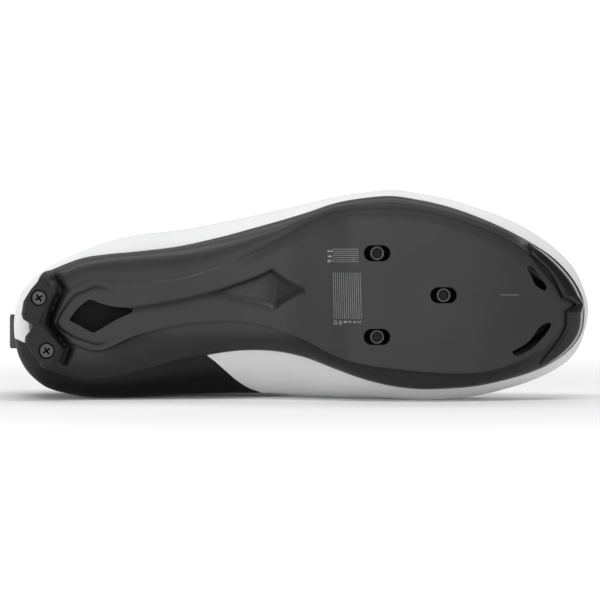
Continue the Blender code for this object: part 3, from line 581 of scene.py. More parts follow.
# Finishes
finishes = {
    "plateColour": (0.036, 0.036, 0.037),
    "plateRoughness": 0.40,
    "bumperColour": (0.010, 0.010, 0.011),
    "padColour": (0.016, 0.016, 0.017),
    "whiteColour": (0.80, 0.80, 0.805),
    "blackColour": (0.007, 0.007, 0.0075),
    "printColour": (0.42, 0.42, 0.43),
}


def platePaint():
    paint = Paint("plateSatin", finishes["plateColour"], finishes["plateRoughness"],
                  Coat_Roughness=0.30, Specular_IOR_Level=0.25)
    where = paint.coords()
    cloud = paint.noise(where, 55.0, 4.0)
    fine = paint.noise(where, 2600.0, 2.0)
    streak = paint.noise(paint.stretch(where, (14.0, 90.0, 220.0)), 6.0, 3.0)
    dust = paint.noise(where, 900.0, 3.0, 0.7).band(0.66, 0.80)
    # Painted shade: the plate's hollows, flanks and opening walls darken towards near black
    deep = paint.attribute("shade")
    tint = paint.mix(cloud * 0.6 + streak * 0.4, (0.026, 0.026, 0.027), (0.036, 0.036, 0.037))
    # Painted highlight: a paler band across the plate round the waist
    along = paint.shoeCoords()[0]
    waistHighlight = along.band(0.080, 0.130) * along.band(0.190, 0.140)
    tint = paint.mix(waistHighlight * 0.45, tint, (0.050, 0.050, 0.051))
    tint = paint.mix(dust * 0.20, tint, (0.12, 0.12, 0.12))
    # Painted highlight: pale patches on the plate beside the bumper's ends
    rub = paint.attribute("rub") * paint.noise(where, 420.0, 3.0).band(0.30, 0.62)
    tint = paint.mix(rub * 0.9, tint, (0.20, 0.20, 0.20))
    tint = paint.mix(deep * 0.92, tint, (0.004, 0.004, 0.004))
    paint.finish(Base_Color=tint, Coat_Weight=(0.12 + cloud * 0.08) * (1 - deep),
                 Roughness=finishes["plateRoughness"] - 0.05 + streak * 0.10 + dust * 0.1)
    paint.bump(fine * 0.7 + cloud * 0.3, 0.00004)
    return paint.material


def bumperPaint():
    paint = Paint("bumperGloss", finishes["bumperColour"], 0.24, Coat_Roughness=0.10,
                  Specular_IOR_Level=0.25)
    where = paint.coords()
    smear = paint.noise(where, 120.0, 4.0)
    hair = paint.noise(paint.stretch(where, (40.0, 300.0, 300.0)), 9.0, 2.0).band(0.60, 0.72)
    # Painted highlight: a pale line along the bumper's outer lip
    lip = paint.attribute("lip")
    face = paint.mix(smear, (0.0035, 0.0035, 0.004), (0.007, 0.007, 0.0075))
    paint.finish(Base_Color=paint.mix(lip, face, (0.55, 0.55, 0.55)),
                 Roughness=0.20 + smear * 0.10 + hair * 0.12, Coat_Weight=0.22 + smear * 0.1)
    paint.bump(paint.noise(where, 1400.0, 2.0) + hair * 0.5, 0.00002)
    return paint.material


def padPaint():
    paint = Paint("padRubber", finishes["padColour"], 0.48, Specular_IOR_Level=0.3)
    where = paint.coords()
    grain = paint.cells(where, 3400.0)
    cloud = paint.noise(where, 140.0, 4.0)
    scuff = paint.noise(paint.stretch(where, (300.0, 90.0, 600.0)), 3.0, 4.0, 0.7).band(0.62, 0.80)
    tint = paint.mix(cloud, (0.012, 0.012, 0.013), (0.021, 0.021, 0.022))
    paint.finish(Base_Color=paint.mix(scuff * 0.25, tint, (0.06, 0.06, 0.06)),
                 Roughness=0.50 + cloud * 0.12 + scuff * 0.1)
    paint.bump(grain * 0.6 + cloud * 0.4, 0.00005)
    return paint.material


# Steel with painted shade: near black where the piece lies deep or beside its boss
def steelPaint(name, dark, pale, roughness, mask):
    paint = Paint(name, dark, roughness, Specular_IOR_Level=0.0)
    where = paint.coords()
    unshaded = mask(paint)
    turned = paint.noise(paint.stretch(where, (1.0, 30.0, 1.0)), 900.0, 3.0)
    spot = paint.noise(where, 700.0, 3.0).band(0.45, 0.75)
    steel = paint.mix(spot, dark, pale)
    paint.finish(Base_Color=paint.mix(unshaded, (0.003, 0.003, 0.003), steel), Metallic=unshaded * 0.6,
                 Roughness=roughness + turned * 0.15 + (1 - unshaded) * 0.4)
    paint.bump(turned, 0.00003)
    return paint.material


# Nuts: steel on the boss ring, painted shade in the bore and beyond the boss
def bossMask(paint):
    x, side, _ = paint.shoeCoords()
    mask = 0.0
    for along, across in boltPlaces:
        radius = ((x - along) ** 2 + (side - across) ** 2) ** 0.5
        mask = mask + radius.band(*cleat["bossOuter"]) * radius.band(*cleat["bossInner"])
    return mask


# Screws: steel on the head, painted shade deeper in its recess
def headMask(paint):
    return paint.shoeCoords()[2].band(0.0023, 0.0020)


def upperPaint():
    paint = Paint("upperMicrofibre", finishes["whiteColour"], 0.44, Coat_Roughness=0.14,
                  Specular_IOR_Level=0.12)
    where = paint.coords()
    black = paint.attribute("blackPanelAndShade").band(-0.00008, 0.00008)
    edge = paint.attribute("blackPanelAndShade").math("ABSOLUTE").band(0.0009, 0.0)
    cloud = paint.noise(where, 38.0, 4.0)
    grain = paint.cells(where, 1900.0)
    pore = paint.noise(where, 3000.0, 2.0)
    seam = paint.attribute("seamLine")
    white = paint.mix(cloud, (0.775, 0.777, 0.785), (0.83, 0.83, 0.832))
    white = paint.mix(seam * 0.30, white, (0.50, 0.50, 0.51))
    dark = paint.mix(cloud, (0.0016, 0.0016, 0.0019), (0.0042, 0.0042, 0.0046))
    paint.finish(Base_Color=paint.mix(black, white, dark),
                 Roughness=0.46 - black * 0.16 + cloud * 0.06,
                 Coat_Weight=0.03 + black * 0.35)
    paint.bump((grain * 0.6 + pore * 0.4) * (1 - black * 0.6) + edge * 1.2 - seam * 4.0, 0.00005)
    return paint.material


def clothPaint(name, dark, pale, threads, roughness=0.85, depth=0.00018):
    paint = Paint(name, dark, roughness, Sheen_Weight=0.08, Sheen_Roughness=0.5)
    where = paint.coords()
    wave = {"Vector": where, "Scale": threads, "Distortion": 0.6, "Detail Scale": 4.0}
    warp = paint.add("ShaderNodeTexWave", {"bands_direction": "X"}, wave, 1)
    weft = paint.add("ShaderNodeTexWave", {"bands_direction": "Z"}, wave, 1)
    weave = warp * weft
    fuzz = paint.noise(where, 2400.0, 3.0)
    cloud = paint.noise(where, 60.0, 3.0)
    paint.finish(Base_Color=paint.mix(weave * 0.6 + cloud * 0.4, dark, pale),
                 Roughness=roughness - 0.06 + fuzz * 0.12)
    paint.bump(weave + fuzz * 0.4, depth)
    return paint.material


def strapPaint():
    paint = Paint("strapMicrofibre", finishes["whiteColour"], 0.44, Coat_Roughness=0.2)
    where = paint.coords()
    cloud = paint.noise(where, 60.0, 4.0)
    grain = paint.cells(where, 1900.0)
    seam = paint.attribute("seamLine")
    white = paint.mix(cloud, (0.76, 0.762, 0.77), (0.82, 0.82, 0.822))
    paint.finish(Base_Color=paint.mix(seam * 0.3, white, (0.5, 0.5, 0.51)),
                 Roughness=0.42 + cloud * 0.08)
    paint.bump(grain * 0.6 - seam * 4.0, 0.00005)
    return paint.material


def printPaint():
    paint = Paint("printGrey", finishes["printColour"], 0.6)
    worn = paint.noise(paint.coords(), 500.0, 3.0)
    paint.finish(Base_Color=paint.mix(worn.band(0.3, 0.7), (0.36, 0.36, 0.37), (0.50, 0.50, 0.51)),
                 Roughness=0.55 + worn * 0.1)
    return paint.material


plateLook = platePaint()
bumperLook = bumperPaint()
padLook = padPaint()
nutLook = steelPaint("nutSteel", (0.075, 0.075, 0.075), (0.13, 0.13, 0.13), 0.34, bossMask)
screwLook = steelPaint("screwSteel", (0.11, 0.11, 0.11), (0.17, 0.17, 0.17), 0.36, headMask)
upperLook = upperPaint()
# Lining and footbed: dark knit, made darker still as painted shade seen through the vents
liningLook = clothPaint("liningKnit", (0.003, 0.003, 0.0035), (0.009, 0.009, 0.010), 700.0)
footbedLook = clothPaint("footbedKnit", (0.003, 0.003, 0.0035), (0.009, 0.009, 0.010), 560.0)
webbingLook = clothPaint("loopWebbing", (0.014, 0.014, 0.015), (0.048, 0.048, 0.050), 620.0)
tongueLook = clothPaint("tongueCloth", (0.020, 0.020, 0.022), (0.045, 0.045, 0.048), 640.0)
strapLook = strapPaint()
printLook = printPaint()
print("finishes made")

# Outsole: the plate's fine shell with its ridge, valley, channel and openings
outsole = {
    "sideColumns": 230,
    "toeColumns": 110,
    "heelColumns": 130,
    "flankRows": 24,
    "ridgeRows": 5,
    "treadRows": 56,
    "valleyDepth": 0.0010,
    "valleyWidth": 0.0020,
    "flankSwell": 0.0006,
    "innerLineDepth": 0.0006,
    "innerLineInset": 0.0029,
    "innerLineWidth": 0.0007,
    "waistEnd": (0.095, 0.025),
    "heelLine": (0.046, -0.014),
    "screwHole": 0.0020,
    "screwHoleTop": 0.0126,
    "trenchDepth": 0.0026,
    "trenchWidth": 0.0021,
}
# Shade painted into the plate's hollows: a start and a run along a length, a
# side or a distance, and the strength and width of each dark line
shading = {
    "ridge": (0.38, 0.0012), "ridgeAlong": (0.098, 0.03), "ridgeSide": (0.004, 0.012),
    "ridgeShift": 0.0002,
    "below": (0.40, 0.0045), "belowBase": 0.50, "belowRidge": (-0.00035, 0.0007),
    "medialAlong": (0.030, 0.02), "medialSide": (-0.006, -0.008), "toeAlong": (0.235, 0.03),
    "heelRim": (0.62, 0.004), "heelSide": (-0.018, -0.010), "heelAlong": (0.085, -0.04),
    "trench": (1.15, 0.0029), "innerLine": (0.9, 0.0006), "bumperShadeLine": 0.0010,
    "channelTop": (0.85, 0.0022), "channelTopShift": 0.0006, "channelFade": 0.0007,
    "channelLow": (0.25, 0.55), "channelFloor": 0.72, "channelFront": (0.4375, 0.012),
    "wallDepth": 0.0015, "wallRun": 0.001,
}
bumper = {
    "start": 1.138, "end": 1.815, "width": 0.0082, "inset": 0.0012, "thick": 0.0014,
    "notchAt": 0.541, "notchShare": 0.048, "notchDepth": 0.0050,
    "tip": 0.03, "taper": 0.55, "notchCurve": 0.8, "shadeLineInset": 0.0006,
    "lipAt": 0.20, "lipShare": 0.045, "lipRise": 0.0004, "endFade": 0.12,
    "columns": 150, "rows": 34,
}
ventRows = (
    (0.0798, -0.0230), (0.0933, 0.0281), (0.1096, 0.0650), (0.1178, 0.0702),
    (0.1340, 0.0540), (0.1556, 0.0392), (0.1867, 0.0320), (0.1911, 0.0191),
    (0.1856, 0.0048), (0.1662, -0.0191), (0.1448, -0.0521), (0.1232, -0.0851),
    (0.1110, -0.0741), (0.0962, -0.0521), (0.0840, -0.0340),
)
toeVentRows = (
    ((0.8900, 0.2337), (0.8996, 0.2317), (0.9088, 0.2007), (0.9226, 0.1495),
     (0.9251, 0.1314), (0.9212, 0.1185), (0.9056, 0.1443), (0.8982, 0.1864)),
    ((0.8651, -0.1811), (0.8699, -0.1940), (0.8819, -0.1864), (0.9035, -0.1500),
     (0.9212, -0.0989), (0.9327, -0.0497), (0.9286, -0.0349), (0.9130, -0.0569),
     (0.9010, -0.1027), (0.8874, -0.1386), (0.8658, -0.1720)),
)
# Channel rows: along, lateral edge, medial edge, depth in metres
channelRows = (
    (0.186, 0.0310, 0.0080, 0.0006), (0.226, 0.0468, 0.0190, 0.0009),
    (0.276, 0.0721, 0.0470, 0.0010), (0.316, 0.0984, 0.0720, 0.0011),
    (0.344, 0.1190, 0.0750, 0.0012), (0.371, 0.1460, 0.0584, 0.0013),
    (0.4125, 0.1850, 0.0400, 0.0016), (0.4375, 0.2190, 0.0190, 0.0020),
    (0.4650, 0.1660, 0.0700, 0.0015), (0.4960, 0.1220, 0.1200, 0.0010),
)
channelBank = {"front": 0.4375, "frontRun": 0.0028, "topRun": 0.0016, "lowRun": 0.0048}
trenchLine = ((0.054, 0.168), (0.064, 0.120), (0.050, 0.030), (0.043, -0.041),
              (0.060, -0.105), (0.076, -0.165), (0.069, -0.222))
cutterLow, cutterHigh = -0.01, 0.1
padScrews = {"lateral": (0.0254, 0.0792), "medial": (0.0393, -0.1737)}


def rolledSide(cuts, turn, offset=0.0):
    rim = cuts.cup(cuts.rimTurn)
    foot = cuts.ridge + sole["ridgeRun"]
    power = 2 / sole["sideFullness"]
    spots = cuts.at(foot + (cuts.edge - foot) * np.maximum(np.cos(turn), 0.0) ** power)
    low = treadHeight(spots[:, 0]) + sole["ridgeRise"] * look(profile, 4, spots[:, 0])
    spots[:, 2] = rim[:, 2] - (rim[:, 2] - low) * np.sin(turn) ** power
    spots[:, :2] += cuts.way * (offset * np.cos(turn) * np.ones(len(spots)))[:, None]
    spots[:, 2] -= offset * np.sin(turn)
    return spots


def lateralWeight(cuts):
    return soft((cuts.way[:, 1] + 0.1) / 0.7)


def channelPlace(points):
    rows = np.array(channelRows)
    along = points[:, 0] / last["length"]
    lateral, medial, depth = (np.interp(along, rows[:, 0], rows[:, column]) for column in (1, 2, 3))
    fromTop = lateral * last["ballWidth"] - points[:, 1]
    fromLow = points[:, 1] - medial * last["ballWidth"]
    inside = (along > rows[0, 0]) & (along < rows[-1, 0])
    return along, fromTop, fromLow, depth, inside


def channelSink(spots):
    along, fromTop, fromLow, depth, inside = channelPlace(spots)
    front = along > channelBank["front"]
    top = np.where(front, channelBank["frontRun"], channelBank["topRun"])
    low = np.where(front, channelBank["frontRun"], channelBank["lowRun"])
    shape = soft(fromTop / top) * soft(fromLow / low)
    return np.where(inside & (fromTop > 0) & (fromLow > 0), depth * shape, 0.0)


def lineDistance(spots, line):
    line = np.asarray(line)
    best = np.full(len(spots), 1.0)
    for start, end in zip(line, line[1:]):
        step = end - start
        share = np.clip(((spots[:, :2] - start) @ step) / (step @ step), 0.0, 1.0)
        nearest = start + share[:, None] * step
        best = np.minimum(best, np.linalg.norm(spots[:, :2] - nearest, axis=1))
    return best


def trenchDistance(spots):
    return lineDistance(spots, inPlan(trenchLine))


def outsoleRows(cuts):
    lateral = lateralWeight(cuts)
    front = ramp(cuts.axis[:, 0], *outsole["waistEnd"])
    rows = []
    for turn in np.linspace(0.0, math.pi / 2, outsole["flankRows"] + 1):
        spots = rolledSide(cuts, turn)
        swell = math.sin(2 * turn) ** 2 if turn > 0 else 0.0
        spots[:, 2] -= outsole["flankSwell"] * swell * lateral * front
        rows.append(spots)
    for share in np.linspace(1.0, 0.0, outsole["ridgeRows"] + 1)[1:]:
        spots = cuts.at(cuts.ridge + share * sole["ridgeRun"])
        rise = sole["ridgeRise"] * look(profile, 4, spots[:, 0])
        spots[:, 2] = treadHeight(spots[:, 0]) + rise * soft(share)
        rows.append(spots)
    for share in np.linspace(1.0, 0.0, outsole["treadRows"] + 1)[1:]:
        spots = cuts.at(cuts.ridge * share)
        spots[:, 2] = treadHeight(spots[:, 0])
        rows.append(spots)
    for spots in rows:
        radius = np.linalg.norm(spots[:, :2] - cuts.axis, axis=1)
        out = radius - cuts.ridge
        run = np.where(out > 0, outsole["valleyWidth"], outsole["valleyWidth"] * 1.6)
        spots[:, 2] += outsole["valleyDepth"] * bell(out, run) * lateral * front
        rear = ramp(spots[:, 0], *outsole["heelLine"])
        groove = bell(out + outsole["innerLineInset"], outsole["innerLineWidth"])
        spots[:, 2] += outsole["innerLineDepth"] * groove * rear
        spots[:, 2] += channelSink(spots)
        spots[:, 2] += outsole["trenchDepth"] * bell(trenchDistance(spots), outsole["trenchWidth"])
    return rows


def channelShade(points):
    form = shading
    along, fromTop, fromLow, _, inside = channelPlace(points)
    front = ramp(along, *form["channelFront"])
    strength, width = form["channelTop"]
    top = np.where(fromTop > 0, bell(fromTop - form["channelTopShift"], width),
                   bell(fromTop, form["channelFade"]))
    low = np.where(fromLow > 0, bell(fromLow, width), bell(fromLow, form["channelFade"]))
    base, more = form["channelLow"]
    floor = form["channelFloor"] * front * (fromTop > 0) * (fromLow > 0)
    return inside * np.max((strength * top, (base + more * front) * low, floor), axis=0)


# Painted shade on the plate: dark lines by the ridge, trench, inner line, channel and bumper, darker
# medial and heel flanks, near-black walls in the openings
def hollowShade(points):
    form = shading
    x, side = points[:, 0], points[:, 1]
    out = ridgeDistance(points)
    lateral = ramp(x, *form["ridgeAlong"]) * ramp(side, *form["ridgeSide"])
    medial = ramp(x, *form["medialAlong"]) * ramp(side, *form["medialSide"])
    toe = 1 - 0.5 * ramp(x, *form["toeAlong"])
    below = form["belowBase"] + form["below"][0] * bell(out, form["below"][1])
    heelRim = ramp(side, *form["heelSide"]) * ramp(x, *form["heelAlong"])
    rear = ramp(x, *outsole["heelLine"])
    deep = points[:, 2] - treadHeight(x) - form["wallDepth"]
    layers = (
        form["ridge"][0] * bell(out - form["ridgeShift"], form["ridge"][1]) * lateral,
        ramp(out, *form["belowRidge"]) * below * medial * toe,
        form["heelRim"][0] * heelRim * soft(out / form["heelRim"][1]),
        form["trench"][0] * bell(trenchDistance(points), form["trench"][1]),
        form["innerLine"][0] * rear * bell(out + outsole["innerLineInset"], form["innerLine"][1]),
        channelShade(points),
        bell(lineDistance(points, bumperInnerLine()), form["bumperShadeLine"]),
        (out < -form["wallRun"]) * soft(deep / form["wallRun"]),
    )
    return np.clip(np.max(layers, axis=0), 0.0, 1.0)


# Painted highlights beside both ends of the bumper: length, side, reach along, reach across and lean
shineSpots = ((0.2500, 0.0352, 0.0048, 0.0017, -0.52), (0.2655, -0.0190, 0.0052, 0.0012, 0.62))


def shineAmount(points):
    amount = np.zeros(len(points))
    for x, side, along, across, lean in shineSpots:
        ahead = (points[:, 0] - x) * math.cos(lean) + (points[:, 1] - side) * math.sin(lean)
        beside = (points[:, 1] - side) * math.cos(lean) - (points[:, 0] - x) * math.sin(lean)
        amount = np.maximum(amount, bell(ahead, along) * bell(beside, across))
    return amount


def ridgeDistance(points):
    near = np.empty(len(points))
    step = np.roll(treadLoop, -1, axis=0) - treadLoop
    for first in range(0, len(points), 4000):
        part = points[first:first + 4000, None, :2] - treadLoop[None]
        far = (part**2).sum(axis=2)
        index = far.argmin(axis=1)
        offset = part[np.arange(len(part)), index]
        cross = step[index, 0] * offset[:, 1] - step[index, 1] * offset[:, 0]
        near[first:first + 4000] = np.sqrt(far.min(axis=1)) * np.sign(cross)
    return near


# The bumper's route round the toe, with the radii of its outer and inner edges
def bumperEdges(count):
    part = np.linspace(0.0, 1.0, count)
    cuts = Cuts(bumper["start"] + part * (bumper["end"] - bumper["start"]))
    taper = np.maximum(np.sin(np.pi * part), bumper["tip"]) ** bumper["taper"]
    notch = np.clip(1.0 - np.abs(part - bumper["notchAt"]) / bumper["notchShare"], 0.0, 1.0)
    far = cuts.edge - bumper["inset"]
    near = far - bumper["width"] * taper + bumper["notchDepth"] * notch ** bumper["notchCurve"]
    return part, cuts, far, near


# A line beside the bumper's inner edge, where painted shade stands for a groove
def bumperInnerLine():
    _, cuts, _, near = bumperEdges(60)
    return cuts.at(near - bumper["shadeLineInset"])[:, :2]


def cupLiningRows(cuts):
    rows = []
    for share in (1.0, 0.75, 0.5, 0.25, 0.0):
        turn = share * cuts.rimTurn
        spots = cuts.cup(turn)
        ahead = cuts.cup(turn + 0.02) - cuts.cup(np.maximum(turn - 0.02, 0.0))
        run = (ahead[:, :2] * cuts.way).sum(axis=1)
        size = np.hypot(run, ahead[:, 2])
        away = np.column_stack((cuts.way * (ahead[:, 2] / size)[:, None], -run / size))
        rows.append(spots + last["gap"] * away)
    for share in (0.7, 0.35, 0.0):
        spots = cuts.at(cuts.base * share)
        spots[:, 2] = featherHeight(spots[:, 0]) - last["gap"]
        rows.append(spots)
    return rows


def ring(x, side, radius, count=32):
    angle = np.arange(count) * 2 * math.pi / count
    return np.column_stack((x + radius * np.cos(angle), side + radius * np.sin(angle)))


def roundedSlot(x, side, length, width, count=14):
    points = []
    for end, first in ((1, -90), (-1, 90)):
        angle = np.radians(first + 180 * np.arange(count + 1) / count)
        centre = x + end * (length - width) / 2
        points.append(np.column_stack((centre + width / 2 * np.cos(angle),
                                       side + width / 2 * np.sin(angle))))
    return np.concatenate(points)


def outsoleCutter():
    parts = [prismPiece("ventCutter", smoothLoop(inPlan(ventRows), 5), cutterLow, cutterHigh)]
    for rows in toeVentRows:
        shape = smoothLoop(inPlan(rows), 5)
        parts.append(prismPiece("toeVentCutter", shape, cutterLow, cutterHigh))
    for x, side in boltPlaces:
        shape = roundedSlot(x, side, cleat["slotLength"], cleat["slotWidth"])
        top = float(treadHeight(x)) + cleat["slotDepth"]
        parts.append(prismPiece("slotCutter", shape, cutterLow, top))
    for along, side in padScrews.values():
        shape = ring(along * last["length"], side * last["ballWidth"], outsole["screwHole"], 16)
        parts.append(prismPiece("holeCutter", shape, cutterLow, outsole["screwHoleTop"]))
    return joinMeshes("outsoleCutter", parts)


def makeOutsole():
    cuts = Cuts(placesAround(outsole["sideColumns"], outsole["toeColumns"], outsole["heelColumns"]))
    outer = outsoleRows(cuts)
    inner = cupLiningRows(cuts)
    columns = len(cuts.x)
    faces = gridFaces(len(outer), columns, True)
    faces += gridFaces(len(inner), columns, True, len(outer) * columns)
    for index in range(columns):
        after = (index + 1) % columns
        base = len(outer) * columns
        faces.append((index, after, base + after, base + index))
    points = np.concatenate(outer + inner)
    piece = finishPiece("outsoleShell", points, faces, plateLook, "carbon_plate", ["outsole"])
    cutOut(piece, outsoleCutter())
    count = len(piece.data.vertices)
    row = np.empty(count * 3)
    piece.data.vertices.foreach_get("co", row)
    shoe = ((row.reshape(-1, 3) - shiftArray) @ turnArray) * (1, -1, 1)
    setValues(piece.data, "shade", hollowShade(shoe))
    # Painted highlight patches beside the bumper's ends, kept as an attribute
    setValues(piece.data, "rub", shineAmount(shoe))
    return piece


makeOutsole()
print("outsole made")


# Upper: one wall with a black heel quarter, stitch lines and flex creases
upper = {
    "sideColumns": 120,
    "toeColumns": 76,
    "heelColumns": 88,
    "rimRows": 4,
    "cupRows": 16,
    "domeRows": 48,
    "stitchInset": 0.0032,
    "stitchWidth": 0.0004,
}
# The front edge of the black quarter: length and height, in metres
quarterEdge = ((0.0850, 0.0100), (0.0886, 0.0215), (0.0949, 0.0256), (0.1043, 0.0332),
               (0.1113, 0.0376), (0.1160, 0.0390), (0.1230, 0.0430), (0.1290, 0.0510),
               (0.1290, 0.0630), (0.1220, 0.0780), (0.1120, 0.0950), (0.1080, 0.1200))
# The panel's edge up the back of the heel
quarterBack = {"side": -0.0160, "start": 0.004, "reach": 0.01, "lean": 0.45}
# Flex creases over the vamp: length, depth, half width along, lean
creaseRows = ((0.1780, 0.0006, 0.0026, 0.10), (0.1880, 0.0008, 0.0030, 0.14),
              (0.1985, 0.0007, 0.0028, 0.16), (0.2085, 0.0004, 0.0026, 0.20))


creaseTop = (0.032, 0.016)


def quarterDistance(points):
    knots = np.array(quarterEdge)
    edge = np.interp(points[:, 2], knots[:, 1], knots[:, 0])
    slope = np.gradient(knots[:, 0], knots[:, 1])
    tilt = np.interp(points[:, 2], knots[:, 1], slope)
    away = (edge - points[:, 0]) / np.sqrt(1 + tilt**2)
    back = (points[:, 0] - quarterBack["start"]).clip(-quarterBack["reach"], 0.0)
    return np.minimum(away, quarterBack["side"] - points[:, 1] - quarterBack["lean"] * back)


def creased(points):
    sink = np.zeros(len(points))
    for x, depth, width, lean in creaseRows:
        centre = x + lean * np.abs(points[:, 1] - 0.006)
        trough = bell(points[:, 0] - centre, width)
        swell = 0.45 * bell(points[:, 0] - centre - 1.7 * width, width)
        sink += depth * (trough - swell)
    return sink * ramp(points[:, 2], *creaseTop)


def upperGrid(cuts):
    rows = [cuts.at(cuts.base - last["lastingMargin"])]
    rows[0][:, 2] = featherHeight(rows[0][:, 0])
    for share in np.linspace(0.0, 1.0, upper["rimRows"] + 1):
        rows.append(cuts.cup(share * cuts.rimTurn))
    for share in np.linspace(0.0, 1.0, upper["cupRows"] + 1)[1:]:
        rows.append(cuts.cup(cuts.rimTurn + share * (math.pi / 2 - cuts.rimTurn)))
    edges = cuts.edgeTurn()
    for share in np.linspace(0.0, 1.0, upper["domeRows"] + 1)[1:]:
        rows.append(cuts.wall(share, edges))
    return np.array(rows)


def makeUpper():
    cuts = Cuts(placesAround(upper["sideColumns"], upper["toeColumns"], upper["heelColumns"]))
    rows = upperGrid(cuts)
    length = np.linalg.norm(np.diff(rows, axis=0), axis=2)
    toEdge = np.concatenate((np.cumsum(length[::-1], axis=0)[::-1], np.zeros((1, rows.shape[1]))))
    free = rows[-1, :, 0] < last["throatFront"] * last["length"] - 0.001
    stitch = bell(toEdge - upper["stitchInset"], upper["stitchWidth"]) * free
    points = rows.reshape(-1, 3)
    points[:, 2] -= creased(points)
    count, columns = rows.shape[:2]
    mesh = bpy.data.meshes.new("upperSkin")
    mesh.from_pydata([tuple(point) for point in toRow(points)], [], gridFaces(count, columns, True))
    black = quarterDistance(points)
    # The lasting margin rows take the black panel's colour as painted shade, seen through the vents
    black[:2 * columns] = 0.01
    setValues(mesh, "blackPanelAndShade", black)
    setValues(mesh, "seamLine", stitch.ravel())
    builder = bmesh.new()
    builder.from_mesh(mesh)
    bmesh.ops.remove_doubles(builder, verts=builder.verts, dist=1e-5)
    bmesh.ops.recalc_face_normals(builder, faces=builder.faces)
    builder.normal_update()
    middle = sum((vert.co for vert in builder.verts), Vector()) / len(builder.verts)
    outward = sum((vert.co - middle).dot(vert.normal) for vert in builder.verts)
    if outward < 0:
        bmesh.ops.reverse_faces(builder, faces=builder.faces)
    builder.to_mesh(mesh)
    builder.free()
    mesh.shade_smooth()
    dress(mesh, upperLook, liningLook)
    piece = linked("upperSkin", mesh)
    wall = piece.modifiers.new("wall", "SOLIDIFY")
    wall.thickness = last["upperWall"]
    wall.offset = -1.0
    wall.use_even_offset = True
    wall.use_quality_normals = True
    wall.material_offset = 1
    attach(piece, "root")
    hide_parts("upper")
    return piece


makeUpper()
print("upper made")


# Thread stitches as small rounded bars, laid on a run of points with normals
def stitchRun(name, route, normals, pitch, length, thick, material, slot):
    route = np.array(route)
    walked = np.concatenate(([0.0], np.cumsum(np.linalg.norm(np.diff(route, axis=0), axis=1))))
    points = []
    faces = []
    for start in np.arange(0.5 * pitch, walked[-1] - length, pitch):
        ends = []
        for far in (start, start + length):
            ends.append(np.array([np.interp(far, walked, route[:, axis]) for axis in range(3)]))
        normal = np.array([np.interp(start, walked, normals[:, axis]) for axis in range(3)])
        normal /= np.linalg.norm(normal)
        ahead = (ends[1] - ends[0]) / np.linalg.norm(ends[1] - ends[0])
        beside = np.cross(ahead, normal)
        first = len(points)
        for share, size in ((0.0, 0.3), (0.18, 0.9), (0.5, 1.0), (0.82, 0.9), (1.0, 0.3)):
            centre = ends[0] + share * (ends[1] - ends[0]) + normal * thick * 0.2 * size
            for angle in np.arange(6) * math.pi / 3:
                spoke = beside * math.cos(angle) + normal * math.sin(angle)
                points.append(centre + spoke * thick * 0.5 * size)
        for row in range(4):
            for index in range(6):
                base = first + row * 6
                after = (index + 1) % 6
                faces.append((base + index, base + after, base + 6 + after, base + 6 + index))
        faces.append(tuple(range(first, first + 6)))
        faces.append(tuple(range(first + 24, first + 30)))
    return finishPiece(name, points, faces, material, slot)


stitches = {"pitch": 0.0027, "length": 0.0017, "thick": 0.00042,
            "start": 0.075, "end": 0.345, "turn": 0.16}


def makeSideStitches():
    places = np.linspace(stitches["start"], stitches["end"], 90)
    cuts = Cuts(places)
    route = cuts.dome(np.full(len(places), stitches["turn"]))
    normals = np.column_stack((cuts.way, np.full(len(places), 0.25)))
    grey = Paint("threadGrey", (0.50, 0.50, 0.51), 0.7)
    twist = grey.noise(grey.coords(), 1800.0, 2.0)
    grey.finish(Base_Color=grey.mix(twist, (0.38, 0.38, 0.39), (0.58, 0.58, 0.59)))
    grey.bump(twist, 0.0001)
    stitchRun("sideStitches", route, normals, stitches["pitch"], stitches["length"],
              stitches["thick"], grey.material, "white_microfibre")


makeSideStitches()


# Toe bumper: a glossy crescent with its notch on the inner edge
def makeBumper():
    place, cuts, far, near = bumperEdges(bumper["columns"])
    foot = cuts.ridge + sole["ridgeRun"]
    fade = soft(place / bumper["endFade"]) * soft((1 - place) / bumper["endFade"])
    outer = []
    inner = []
    lipHighlights = []
    for part in np.linspace(0.0, 1.0, bumper["rows"]) ** 1.3:
        radius = far + part * (near - far)
        share = np.clip((radius - foot) / (cuts.edge - foot), 0.0, 1.0)
        turn = np.arccos(share ** (sole["sideFullness"] / 2))
        crest = 0.30 + 0.70 * math.sin(math.pi * min(1.0, 0.08 + 0.92 * part) ** 0.7) ** 0.6
        crest = max(crest, 0.30 if part < 0.5 else 0.55)
        lip = math.exp(-((part - bumper["lipAt"]) / bumper["lipShare"]) ** 2)
        # The lip's band, faded at the ends, also places a painted highlight
        lipHighlights.append(lip * fade)
        inner.append(rolledSide(cuts, turn, last["gap"]))
        rise = (bumper["thick"] * crest + bumper["lipRise"] * lip) * (0.25 + 0.75 * fade)
        outer.append(rolledSide(cuts, turn, last["gap"] + rise))
    piece = plateFromGrids("toeBumper", outer, inner, bumperLook, "gloss_bumper", ["toe_bumper"], 50.0)
    valueAt(piece, "lip", np.concatenate(outer), np.concatenate(lipHighlights))
    return piece


makeBumper()
print("toe bumper made")


# Insole, tongue and straps
footbed = {"wall": 0.0023, "thick": 0.003, "inset": 0.0012, "dish": 0.0016, "rows": 12}


